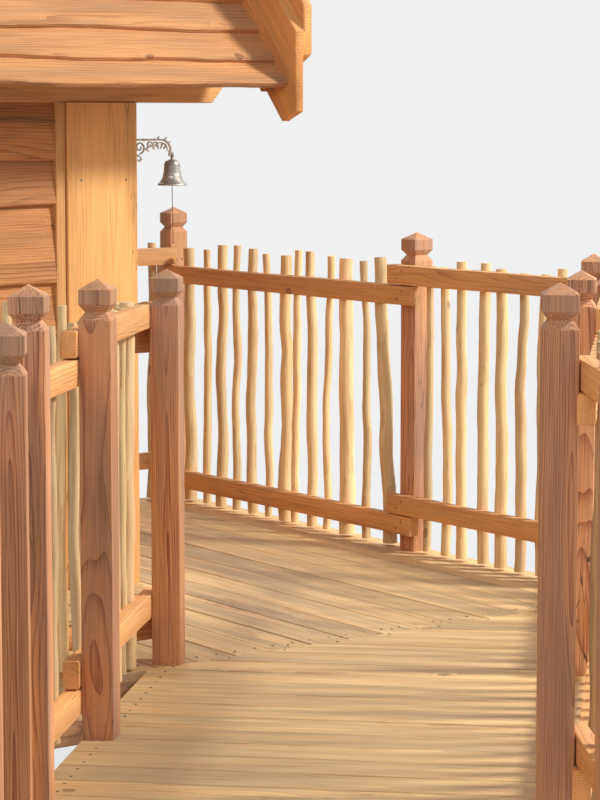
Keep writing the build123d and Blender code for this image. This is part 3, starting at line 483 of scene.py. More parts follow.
class Timber:
    """Gathers boards into one mesh, with each point's place along and across its own board."""

    def __init__(self, seed):
        self.chance = random.Random(seed)
        self.points, self.faces, self.places, self.tones, self.wears = [], [], [], [], []

    def pith(self, reach=0.09):
        """Where the middle of the tree lies beside the board, with a fresh stretch of the trunk."""
        side, uniform = self.chance.choice((-1, 1)), self.chance.uniform
        return Vector((uniform(0, 40), uniform(-reach, reach), side * uniform(0.35, 1) * reach))

    def loft(self, rings, places, tone, wears=None):
        """Skins a row of rings of equal count, and closes both ends. Wears says how grey each ring is."""
        first, count = len(self.points), len(rings[0])
        for number, (ring, place) in enumerate(zip(rings, places)):
            self.points += ring
            self.places += place
            self.tones += [tone] * count
            self.wears += [wears[number] if wears else 0.0] * count
        for row in range(len(rings) - 1):
            for k in range(count):
                a, b = first + row * count + k, first + row * count + (k + 1) % count
                self.faces.append((a, b, b + count, a + count))
        self.faces.append(tuple(range(first + count - 1, first - 1, -1)))
        last = first + (len(rings) - 1) * count
        self.faces.append(tuple(range(last, last + count)))

    def board(self, start, end, up, width, depth, edge=0.003, wave=0.0015, step=0.09, **own):
        """A sawn board from start to end: depth is measured along up, width across it.

        Its own pith, tone, wears and stations (distances along it with the section's size there) may be given.
        """
        start, end = Vector(start), Vector(end)
        run, length = (end - start).normalized(), (end - start).length
        up = (Vector(up) - run * Vector(up).dot(run)).normalized()
        side = run.cross(up)
        pith = own["pith"] if "pith" in own else self.pith()
        tone = own["tone"] if "tone" in own else self.chance.random()
        seed = self.chance.uniform(0, 90)
        rows = max(1, round(length / step))
        section = rounded(width, depth, edge)
        rings, places = [], []
        for distance, size in own.get("stations") or [(length * k / rows, 1.0) for k in range(rows + 1)]:
            ring, place = [], []
            for s, u in section:
                q = Vector((distance * 2.2 + seed, s * 9, u * 9))
                ds, du = wave * noise.noise(q), wave * noise.noise(q + Vector((0, 31, 17)))
                ring.append(start + run * distance + side * (s * size + ds) + up * (u * size + du))
                place.append(Vector((distance, s * size, u * size)) + pith)
            rings.append(ring)
            places.append(place)
        self.loft(rings, places, tone, own.get("wears"))

    def bar(self, start, end, width, depth, edge, wave=0.0):
        """A straight bar in the bracket's plane, upright or level, between two points given as x and z."""
        up = ALONG_X if start[0] == end[0] else UP
        self.board((start[0], BELL_Y, start[1]), (end[0], BELL_Y, end[1]), up, width, depth, edge, wave)

    def prism(self, outline, low, high, run, ease=0.002):
        """A flat board cut to a plan outline, with its upper edges eased."""
        run = Vector((*run, 0)).normalized()
        side = Vector((-run.y, run.x, 0))
        middle = sum((Vector((*p, 0)) for p in outline), Vector()) / len(outline)
        pith, tone, cupping = self.pith(), self.chance.random(), self.chance.uniform(-0.0008, 0.0008)
        rings, places = [], []
        for level, inset in ((low, 0), (high - ease, 0), (high, ease)):
            ring = [Vector((*p, level + cupping)) for p in (inset_plan(outline, inset) if inset else outline)]
            rings.append(ring)
            places.append([Vector(((p - middle).dot(run), (p - middle).dot(side), p.z - low)) + pith for p in ring])
        self.loft(rings, places, tone)

    def piece(self, name):
        mesh = bpy.data.meshes.new(name)
        mesh.from_pydata(self.points, [], self.faces)
        place = mesh.attributes.new("place", "FLOAT_VECTOR", "POINT")
        place.data.foreach_set("vector", [value for point in self.places for value in point])
        for label, values in (("tone", self.tones), ("wear", self.wears)):
            mesh.attributes.new(label, "FLOAT", "POINT").data.foreach_set("value", values)
        work = bmesh.new()
        work.from_mesh(mesh)
        bpy.data.meshes.remove(mesh)
        return from_work(work, name)


def inset_plan(outline, amount):
    """A plan outline moved inwards by an amount, corner by corner."""
    count = len(outline)
    turn = sum(outline[k - 1][0] * outline[k][1] - outline[k][0] * outline[k - 1][1] for k in range(count))
    inwards = 1 if turn > 0 else -1
    moved = []
    for k in range(count):
        before, here, after = Vector(outline[k - 1]), Vector(outline[k]), Vector(outline[(k + 1) % count])
        a, b = (here - before).normalized(), (after - here).normalized()
        na, nb = Vector((-a.y, a.x)) * inwards, Vector((-b.y, b.x)) * inwards
        corner = na + nb
        moved.append(tuple(here + corner * (amount / max(0.3, corner.dot(na)))))
    return moved


def clipped(outline, point, normal):
    """The part of an outline on the side of a line that the normal points to."""
    kept = []
    for p, q in zip([outline[-1], *outline], outline):
        dp, dq = ((r[0] - point[0]) * normal[0] + (r[1] - point[1]) * normal[1] for r in (p, q))
        if dp * dq < 0:
            t = dp / (dp - dq)
            kept.append((p[0] + (q[0] - p[0]) * t, p[1] + (q[1] - p[1]) * t))
        if dq >= 0:
            kept.append(tuple(q))
    apart = []
    for p in kept:
        if not apart or dist(p, apart[-1]) > 1e-4:
            apart.append(p)
    if len(apart) > 1 and dist(apart[0], apart[-1]) < 1e-4:
        apart.pop()
    return apart


def strip(outline, across, low, high):
    """The part of an outline between two lines across a direction."""
    part = clipped(outline, (across[0] * low, across[1] * low), across)
    return clipped(part, (across[0] * high, across[1] * high), (-across[0], -across[1]))


def merged(node):
    """A working copy of a CAD node's mesh, with its doubles merged and flat faces joined."""
    work = bmesh.new()
    work.from_mesh(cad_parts[node].data)
    bmesh.ops.remove_doubles(work, verts=work.verts, dist=0.00005)
    bmesh.ops.dissolve_limit(work, angle_limit=radians(1), verts=work.verts, edges=work.edges)
    return work


def top_outline(node):
    """The outline of a slab's largest level face, from above."""
    work = merged(node)
    face = max((f for f in work.faces if f.normal.z > 0.99), key=lambda f: f.calc_area())
    outline = [(v.co.x, v.co.y) for v in face.verts]
    work.free()
    return outline


def islands(work):
    """The faces of each separate solid in a working mesh, in an order that doesn't change."""
    left = dict.fromkeys(work.faces)
    while left:
        island, front = [], [left.popitem()[0]]
        while front:
            face = front.pop()
            island.append(face)
            for edge in face.edges:
                for other in edge.link_faces:
                    if other in left:
                        del left[other]
                        front.append(other)
        yield island


def longest_run(edges):
    """The direction of the longest edge."""
    edge = max(edges, key=lambda e: e.calc_length())
    return (edge.verts[1].co - edge.verts[0].co).normalized()


def dressed(name, nodes, slot, material, seed, bevel=0.003, by_face=False):
    """Sharp CAD timbers with their edges eased and the grain laid along each of them."""
    whole = bmesh.new()
    place = whole.loops.layers.float_vector.new("place")
    tone = whole.verts.layers.float.new("tone")
    chance = random.Random(seed)
    for node in nodes:
        work = merged(node)
        edges = [e for e in work.edges if len(e.link_faces) == 2 and e.calc_face_angle() > radians(20)]
        bmesh.ops.bevel(work, geom=edges, offset=bevel, segments=1, affect="EDGES", clamp_overlap=True)
        for island in islands(work):
            main = longest_run(e for f in island for e in f.edges)
            middle = sum((f.calc_center_median() for f in island), Vector()) / len(island)
            shift = trunk(chance, 0.08, 0.04, 0.09)
            shade = chance.random()
            made = {}
            for face in island:
                run = longest_run(face.edges) if by_face and face.calc_area() > 0.02 else main
                side = run.cross(Vector(UP if abs(run.z) < 0.9 else ALONG_X)).normalized()
                up = side.cross(run)
                for v in face.verts:
                    if v not in made:
                        made[v] = whole.verts.new(v.co)
                        made[v][tone] = shade
                try:
                    new = whole.faces.new([made[v] for v in face.verts])
                except ValueError:
                    continue
                for loop in new.loops:
                    p = loop.vert.co - middle
                    loop[place] = Vector((p.dot(run), p.dot(side), p.dot(up))) + shift
        work.free()
    return seat(from_work(whole, name), "house", slot, material, *nodes, crease=40)


# ---------------------------------------------------------------- geometry nodes
def grown(name, source, tree, values):
    """Runs a geometry tree on a source object and returns its result as a plain mesh object."""
    modifier = source.modifiers.new("growth", "NODES")
    modifier.node_group = tree
    for item in tree.interface.items_tree:
        if item.item_type == "SOCKET" and item.in_out == "INPUT" and item.name in values:
            modifier[item.identifier] = values[item.name]
    graph = bpy.context.evaluated_depsgraph_get()
    mesh = bpy.data.meshes.new_from_object(source.evaluated_get(graph), preserve_all_data_layers=True, depsgraph=graph)
    source.modifiers.clear()
    old = source.data
    bpy.data.objects.remove(source)
    bpy.data.meshes.remove(old)
    mesh.name = name
    return link(bpy.data.objects.new(name, mesh))


def growth(name, inputs):
    """A geometry group with a geometry and a material besides its own inputs."""
    geometry, material = {"Geometry": "Geometry"}, {"Material": "Material"}
    return new_group(name, "GeometryNodeTree", geometry | inputs | material, geometry)


def stick_tree():
    """Peeled sticks: each polyline becomes a crooked round stick of uneven thickness, sawn off at its ends."""
    shape = dict.fromkeys(("Section length", "Crookedness", "Unevenness", "Knobbliness"), "Float")
    g, given, out = growth("peeled_sticks", shape | {"Sides": "Int"})
    where = g.get("GeometryNodeInputPosition")
    seed = g.named("seedling")
    curve = g.get("GeometryNodeMeshToCurve", {"Mesh": given["Geometry"]})
    curve = g.get("GeometryNodeResampleCurve", {"Curve": curve, "Length": given["Section length"]}, mode="LENGTH")
    own = g.vec("ADD", where, g.scaled((7.1, 3.3, 1.7), seed))
    bend = g.axes(g.vec("SUBTRACT", g.noise(own, 3.2, 1.5, "Color"), (0.5, 0.5, 0.5)), 2.0, 2.0, 0.0)
    bend = g.scaled(bend, given["Crookedness"])
    curve = g.get("GeometryNodeSetPosition", {"Geometry": curve, "Offset": bend})
    curve = g.stored(curve, "reach", g.put("GeometryNodeSplineParameter").outputs["Length"])
    swell = g.times(g.minus(g.noise(own, 5.0), 0.5), given["Unevenness"])
    size = g.times(g.named("girth"), g.plus(1.0, swell))
    circle = g.get("GeometryNodeCurvePrimitiveCircle", {"Resolution": given["Sides"], "Radius": 1.0})
    circle = g.stored(circle, "rim", where, "FLOAT_VECTOR")
    swept = {"Curve": curve, "Profile Curve": circle, "Scale": size, "Fill Caps": True}
    made = g.get("GeometryNodeCurveToMesh", swept)
    rim = g.put("ShaderNodeSeparateXYZ", {0: g.scaled(g.named("rim", "FLOAT_VECTOR"), size)}).outputs
    run = g.plus(g.named("reach"), g.times(seed, 5.3))
    grain = g.get("ShaderNodeCombineXYZ", {0: run, 1: rim[0], 2: rim[1]})
    made = g.stored(made, "place", grain, "FLOAT_VECTOR")
    lumps = g.times(g.minus(g.noise(where, 22.0), 0.5), given["Knobbliness"])
    lift = g.scaled(g.get("GeometryNodeInputNormal"), lumps)
    made = g.get("GeometryNodeSetPosition", {"Geometry": made, "Offset": lift})
    return g.grow(made, given, out)


def nail_tree():
    """Screw heads: one small domed head on every point, facing the way that the point says."""
    g, given, out = growth("screw_heads", {"Head radius": "Float", "Head height": "Float", "Sides": "Int"})
    radius = given["Head radius"]
    cone = {"Radius Top": g.times(radius, 0.72), "Radius Bottom": radius, "Depth": given["Head height"]}
    head = g.get("GeometryNodeMeshCone", {"Vertices": given["Sides"], **cone})
    facing = g.named("facing", "FLOAT_VECTOR")
    turn = g.get("FunctionNodeAlignRotationToVector", {"Vector": facing}, axis="Z")
    points = g.get("GeometryNodeMeshToPoints", {"Mesh": given["Geometry"]})
    heads = g.get("GeometryNodeInstanceOnPoints", {"Points": points, "Instance": head, "Rotation": turn})
    return g.grow(heads, given, out)


NAILS = []


def nail(point, facing):
    """Notes a screw head for later, at a point on a face."""
    NAILS.append((Vector(point), Vector(facing).normalized()))


# ---------------------------------------------------------------- settings
def metres(name, description, default):
    return bpy.props.FloatProperty(name=name, description=description, default=default, unit="LENGTH")


class TreeHouseSettings(bpy.types.PropertyGroup):
    """Sizes and colours that a user would change"""

    board_width: metres("Deck board width", "Width of one deck board with its gap", 0.150)
    board_gap: metres("Deck gap", "Open gap between two deck boards", 0.006)
    post_rounding: metres("Post edge", "Rounding of the railing posts' edges", 0.002)
    rail_waviness: metres("Rail waviness", "How far the rails' sawn edges wander", 0.0035)
    crookedness: metres("Stick crookedness", "How far a stick wanders from its line", 0.016)
    course: metres("Cladding course", "Height of one course of the gables' boards", 0.215)
    wane: metres("Wane", "Depth of the waves of a waney edge", 0.009)
    floor_colour: bpy.props.FloatVectorProperty(
        name="Floor colour", description="Colour of the studio floor", default=(0.87, 0.875, 0.88), subtype="COLOR"
    )


def settings():
    return bpy.context.scene.tree_house


# ---------------------------------------------------------------- operators
class TREEHOUSE_OT_stage(bpy.types.Operator):
    """Sets up the floor, the lights, the sky and the camera"""

    bl_idname = "treehouse.stage"
    bl_label = "Stage"

    def execute(self, context):
        colour = (*settings().floor_colour, 1)
        self.floor(colour)
        self.lamps()
        context.scene.view_settings.view_transform = "Standard"
        context.scene.world = self.sky(colour)
        context.scene.camera = self.camera()
        return {"FINISHED"}

    def floor(self, colour):
        """A pale floor that keeps the shadow near the object and fades to the backdrop further out."""
        reach, near, faded = 60, 4.0, 20.0
        mesh = bpy.data.meshes.new("studio_floor")
        corners = [(-reach, -reach, 0), (reach, -reach, 0), (reach, reach, 0), (-reach, reach, 0)]
        mesh.from_pydata(corners, [], [(0, 1, 2, 3)])
        floor = link(bpy.data.objects.new("studio_floor", mesh))
        g, shader = new_material("studio_floor", Base_Color=colour, Roughness=0.9)
        mesh.materials.append(MATERIALS["studio_floor"])
        glow = g.get("ShaderNodeEmission", {"Color": colour, "Strength": 1.0})
        far = g.ramp(g.vec("LENGTH", g.object_place()), near, faded, 0.45, 1.0)
        rays = g.put("ShaderNodeLightPath").outputs
        seen = g.calc("MAXIMUM", rays["Is Camera Ray"], rays["Is Glossy Ray"])
        both = g.get("ShaderNodeMixShader", {0: g.times(seen, far), 1: shader.outputs[0], 2: glow})
        g.join(g.tree.nodes["Material Output"].inputs, Surface=both)

    def sky(self, colour):
        """Soft light from all round, and the backdrop's plain colour where it is seen."""
        world = bpy.data.worlds.new("studio_sky")
        world.use_nodes = True
        world.node_tree.nodes.clear()
        g = Graph(world.node_tree)
        rays = g.put("ShaderNodeLightPath").outputs
        seen = g.calc("MAXIMUM", rays["Is Camera Ray"], rays["Is Glossy Ray"])
        seen = g.calc("MAXIMUM", seen, rays["Is Transmission Ray"])
        ambient = g.get("ShaderNodeBackground", {"Color": (0.93, 0.96, 1.0, 1), "Strength": 0.36})
        backdrop = g.get("ShaderNodeBackground", {"Color": colour, "Strength": 1.0})
        both = g.get("ShaderNodeMixShader", {0: seen, 1: ambient, 2: backdrop})
        g.put("ShaderNodeOutputWorld", {"Surface": both})
        return world

    def lamps(self):
        target = Vector((-0.2, -1.0, DECK + 1.0))
        white = (1, 1, 1)
        for name, direction, far, size, power, colour in [
            ("key_light", (0.64, -0.56, 0.64), 12, 1.6, 1750, (1.0, 0.96, 0.90)),
            ("fill_light", (-0.75, -0.75, 0.5), 13, 7.0, 400, white),
            ("back_light", (0.35, 0.85, 0.7), 13, 5.0, 380, white),
        ]:
            lamp = bpy.data.lights.new(name, "AREA")
            lamp.energy, lamp.size, lamp.color = power, size, colour
            light = link(bpy.data.objects.new(name, lamp))
            light.location = target + Vector(direction).normalized() * far
            light.rotation_euler = (target - light.location).to_track_quat("-Z", "Y").to_euler()

    def camera(self):
        lens = bpy.data.cameras.new("photo_view")
        lens.lens = FOCAL_PIXELS / PHOTO_HEIGHT * SENSOR
        lens.sensor_width = SENSOR
        lens.clip_end = 200
        camera = link(bpy.data.objects.new("photo_view", lens))
        camera.location = CAMERA_PLACE
        ahead = cos(CAMERA_DOWN)
        look = Vector((cos(CAMERA_HEADING) * ahead, sin(CAMERA_HEADING) * ahead, -sin(CAMERA_DOWN)))
        camera.rotation_euler = look.to_track_quat("-Z", "Y").to_euler()
        return camera


class TREEHOUSE_OT_cord(bpy.types.Operator):
    """Makes the bell's pull cord and the knot at its end"""

    bl_idname = "treehouse.cord"
    bl_label = "Pull cord"

    def execute(self, context):
        drops = ((0, 0, 0), (0, 0, 0.050), (0.001, -0.001, 0.105), (0.003, 0.001, 0.160), (0.004, 0.002, 0.215))
        route = [(BELL_X + x, BELL_Y + y, CLAPPER_END - drop) for x, y, drop in drops]
        curve = bpy.data.curves.new("pull_cord", "CURVE")
        curve.dimensions = "3D"
        curve.bevel_depth = 0.0015
        curve.bevel_resolution = 3
        curve.use_fill_caps = True
        spline = curve.splines.new("NURBS")
        spline.points.add(len(route) - 1)
        for point, place in zip(spline.points, route):
            point.co = (*place, 1)
        spline.order_u = 3
        spline.use_endpoint_u = True
        spline.resolution_u = 12
        curve.materials.append(MATERIALS["cord_twist"])
        cord = link(bpy.data.objects.new("pull_cord", curve))
        knot = self.knot(Vector(route[-1]))
        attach(cord, "clapper")
        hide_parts("bell_cord")
        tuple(route[0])
        return {"FINISHED"}

    def knot(self, end):
        """A small overhand knot: one fat loop of the cord round itself."""
        made = Timber(3)
        middle = end + Vector((0, 0, 0.0036))
        thick, turns, sides = 0.0015, 20, 8
        rings, places = [], []
        for a in [*round_angles(turns), 2 * pi]:
            spot = middle + Vector((0.0017 * cos(a), 0.0017 * sin(a), 0.0013 * sin(2 * a)))
            out = Vector((cos(a), sin(a), 0)) * thick
            rings.append([spot + out * cos(b) + Vector((0, 0, thick * sin(b))) for b in round_angles(sides)])
            places.append([Vector((0.01 * a, 0, 0))] * sides)
        made.loft(rings, places, 0.5)
        return seat(made.piece("cord_knot"), "clapper", "cord_fibre", "cord_twist", crease=180)


class TREEHOUSE_OT_decks(bpy.types.Operator):
    """Lays the boards of the terrace, the footbridge and the cabin's floor"""

    bl_idname = "treehouse.decks"
    bl_label = "Decks"

    def execute(self, context):
        pitch, gap = settings().board_width, settings().board_gap
        timber, outline = Timber(11), top_outline("terrace_deck")
        front = clipped(outline, (0, 0), (0, -1))
        for edge in steps(0.0, -CABIN_LENGTH - 0.01, -pitch):
            self.lay(timber, front, ALONG_X[:2], edge - pitch + gap, edge)
        for edge in steps(0.0, FENCE_X + HALF + 0.006, pitch):
            self.lay(timber, outline, ALONG_X[:2], edge + gap, edge + pitch)
        seat(timber.piece("terrace_boards"), "house", "deck_boards", "deck_wood", "terrace_deck", crease=30)
        timber, outline = Timber(12), top_outline("bridge_deck")
        for heading, sign in ((SLANT, 1), (SECOND_SLANT, -1)):
            run = (cos(heading), sin(heading))
            part = self.half(outline, sign)
            ends = [Vector(run).dot(Vector(p)) for p in part]
            for edge in steps(min(ends), max(ends), pitch):
                self.lay(timber, part, run, edge + gap / 2, min(edge + pitch - gap / 2, max(ends)))
        seat(timber.piece("bridge_boards"), "house", "deck_boards", "deck_wood", "bridge_deck", crease=30)
        timber, outline = Timber(13), top_outline("cabin_floor")
        for edge in steps(-CABIN_LENGTH, 0, CABIN_BOARD):
            self.lay(timber, outline, ALONG_X[:2], edge, edge + CABIN_BOARD - 0.002)
        seat(timber.piece("cabin_boards"), "house", "deck_boards", "deck_wood", "cabin_floor", crease=30)
        return {"FINISHED"}

    def half(self, outline, sign):
        """The footbridge's stretch before or after its turn, cut along the line between the corner posts."""
        across = Vector((E[0] - B[0], E[1] - B[1])).normalized()
        normal = Vector((-across.y, across.x))
        if normal.x * cos(SLANT) + normal.y * sin(SLANT) < 0:
            normal = -normal
        return clipped(outline, B, tuple(normal * sign))

    def lay(self, timber, outline, across, low_line, high_line):
        """One board between two lines across the outline, with its screws over the ends."""
        part = strip(outline, across, low_line, high_line)
        if len(part) < 3:
            return
        run = (-across[1], across[0])
        timber.prism(part, DECK - DECK_THICK, DECK, run)
        width, narrowest, screws_in, apart, sunk = high_line - low_line, 0.08, 0.06, 0.27, 0.0004
        if width > narrowest:
            spans = [Vector(run).dot(Vector(p)) for p in part]
            for reach in (min(spans) + screws_in, max(spans) - screws_in):
                for side in (0.5 - apart, 0.5 + apart):
                    spot = Vector(across) * (low_line + width * side) + Vector(run) * reach
                    nail((spot.x, spot.y, DECK - sunk), UP)


class TREEHOUSE_OT_posts(bpy.types.Operator):
    """Carves the railing posts"""

    bl_idname = "treehouse.posts"
    bl_label = "Railing posts"

    def execute(self, context):
        for number, (node, feet) in enumerate(POSTS.items()):
            timber = Timber(21 + number)
            for foot, heading, taller in feet:
                self.post(timber, foot, heading, POST + taller)
            seat(timber.piece("carved_" + node), "house", "post_timber", "post_wood", node, crease=24)
        return {"FINISHED"}

    def post(self, timber, foot, heading, height):
        """One post: sawn square, cut to a neck with four chamfers, and a low pyramid on its cap."""
        apex, cap, slope, neck = 0.028, 0.042, 0.021, 0.060 / (2 * HALF)
        base = height - apex - cap - 2 * slope
        stations = [(base * k / 14, 1.0) for k in range(14)] + [
            (base - 0.0008, 1.0),
            (base + 0.0005, 0.985),
            (base + slope, neck),
            (base + slope + 0.0008, neck),
            (base + 2 * slope - 0.0005, 0.985),
            (base + 2 * slope + 0.0008, 1.0),
            (height - apex - 0.001, 1.0),
            (height - apex + 0.0006, 0.975),
            (height - 0.002, 0.06),
            (height - 0.0006, 0.02),
        ]
        head_wears = [0.2, 0.4, 0.5, 0.5, 0.0, -0.3, -0.3]
        timber.board(
            (*foot, DECK),
            (*foot, DECK + height),
            (cos(heading), sin(heading), 0),
            2 * HALF,
            2 * HALF,
            settings().post_rounding,
            0.0008,
            pith=trunk(timber.chance, 0.03, 0.05, 0.075),
            stations=stations,
            wears=[0.0] * (len(stations) - len(head_wears)) + head_wears,
        )


class TREEHOUSE_OT_railings(bpy.types.Operator):
    """Builds the rails and the peeled sticks of every bay"""

    bl_idname = "treehouse.railings"
    bl_label = "Railings"

    def execute(self, context):
        tree = stick_tree()
        for number, (node, bay) in enumerate(PANELS.items()):
            start, end, raised, rail_side, stick_side, first_lap, last_lap = bay
            timber = Timber(41 + number)
            span = dist(start, end)
            # Painted light: bridge rails get lighter tones, as painted sunlight, and terrace rails darker ones, as
            # painted shade
            tones = (0.75, 1) if node.startswith("bridge") else (0.1, 0.6)
            for level in RAIL_LEVELS:
                z = DECK + level + (LAPPED_STEP if raised else 0) + RAIL_HEIGHT / 2
                near = (*along(start, end, -first_lap, rail_side), z)
                far = (*along(start, end, span + last_lap, rail_side), z)
                tone = timber.chance.uniform(*tones)
                waves = settings().rail_waviness
                timber.board(near, far, UP, RAIL_THICK, RAIL_HEIGHT, 0.004, waves, 0.06, tone=tone)
                self.nails(start, end, span, z, rail_side)
            seat(timber.piece("rails_" + node), "house", "railing_wood", "rail_wood", node)
            self.sticks(tree, node, start, end, stick_side, number)
        return {"FINISHED"}

    def nails(self, start, end, span, z, rail_side):
        """Two screws where a rail crosses each post, on the rail's face away from the post."""
        out, sunk = 1 if rail_side > 0 else -1, 0.0008
        direction = Vector(along(start, end, 0, out)) - Vector(start)
        for distance in (0, span):
            for side, up in ((-0.018, 0.016), (0.014, -0.015)):
                spot = along(start, end, distance + side, rail_side + out * (RAIL_THICK / 2 - sunk))
                nail((*spot, z + up), (direction.x, direction.y, 0))

    def sticks(self, tree, node, start, end, stick_side, number):
        """The bay's sticks as lines of three points, grown to round sticks by the geometry tree."""
        points, edges = [], []
        grain = {"girth": [], "seedling": [], "tone": [], "wear": []}
        chance, greyness = random.Random(100 + number), random.Random(200 + number)
        greys = (0.2, 2.0) if node.startswith("bridge") else (-0.3, 0.5)
        for count, (foot, head, *stout) in enumerate(self.places(node, start, end)):
            seed = stick_seed(count, start, end)
            first = len(points)
            knee = STICK_TOP * (0.5 + waver(seed * 0.9, 0.12))
            for height in (0.012, knee, STICK_TOP + waver(seed * 2.1, 0.014)):
                place = foot + (head - foot) * height / STICK_TOP + waver(seed * 3.7 + height * 1000, 0.009)
                points.append(Vector((*along(start, end, place, stick_side), DECK + height)))
            edges += [(first, first + 1), (first + 1, first + 2)]
            shade, fatness = chance.random(), 1.10 + 0.32 * chance.random() ** 3
            radius = (STICK_RADIUS + waver(seed * 1.3, 0.003)) * (stout[0] if stout else fatness)
            grain["girth"] += [radius * 1.06, radius, radius * 0.92]
            grain["seedling"] += [chance.uniform(0, 9)] * 3
            grain["tone"] += [shade] * 3
            grain["wear"] += [greyness.uniform(*greys)] * 3
        mesh = bpy.data.meshes.new("stick_lines")
        mesh.from_pydata(points, edges, [])
        for name, values in grain.items():
            mesh.attributes.new(name, "FLOAT", "POINT").data.foreach_set("value", values)
        source = link(bpy.data.objects.new("stick_lines", mesh))
        values = {
            "Section length": 0.045,
            "Sides": 12,
            "Crookedness": settings().crookedness,
            "Unevenness": 0.45,
            "Knobbliness": 0.004,
            "Material": MATERIALS["stick_wood"],
        }
        seat(grown("sticks_" + node, source, tree, values), "house", "railing_wood", "stick_wood", node, crease=50)

    def places(self, node, start, end):
        """Foot and head of each stick as distances from the bay's start."""
        if node in SET_STICKS:
            return [(foot / 1000, head / 1000, *stout) for foot, head, *stout in SET_STICKS[node]]
        span = dist(start, end)
        room = span - 2 * HALF - 2 * (STICK_RADIUS + 0.034)
        count = int(room / 0.112) + 1
        made = []
        for number in range(count):
            seed = stick_seed(number, start, end)
            place = (span - room) / 2 + room * (number + 0.5) / count + waver(seed, 0.012)
            made.append((place, place + waver(seed * 1.9, 0.012)))
        if node == "bridge_panel_dc":
            made[-1] = (*made[-1], 1.5)
        return made


def lapped(timber, start, end, up, out, height, butt, head, wane):
    """One lapped board with a waney lower edge, from start to end along its lower edge."""
    start, end, up, out = Vector(start), Vector(end), Vector(up), Vector(out)
    run, length = (end - start).normalized(), (end - start).length
    seed, pith, tone = timber.chance.uniform(0, 90), timber.pith(0.16), timber.chance.random()
    rows = max(2, round(length / 0.05))
    rings, places = [], []
    for k in range(rows + 1):
        distance = length * k / rows
        long_waves = noise.noise(Vector((distance * 2.6 + seed, 0.3, 0.7)))
        dip = wane * (long_waves + 0.4 * noise.noise(Vector((distance * 9 + seed, 4, 1))))
        section = [
            (dip * 0.5, 0.001),
            (dip - 0.002, butt * 0.35),
            (dip, butt - 0.005),
            (dip + 0.006, butt),
            (height * 0.4, butt + (head - butt) * 0.4),
            (height, head),
            (height, 0.001),
        ]
        rings.append([start + run * distance + up * u + out * o for u, o in section])
        places.append([Vector((distance, u, o)) + pith for u, o in section])
    timber.loft(rings, places, tone)


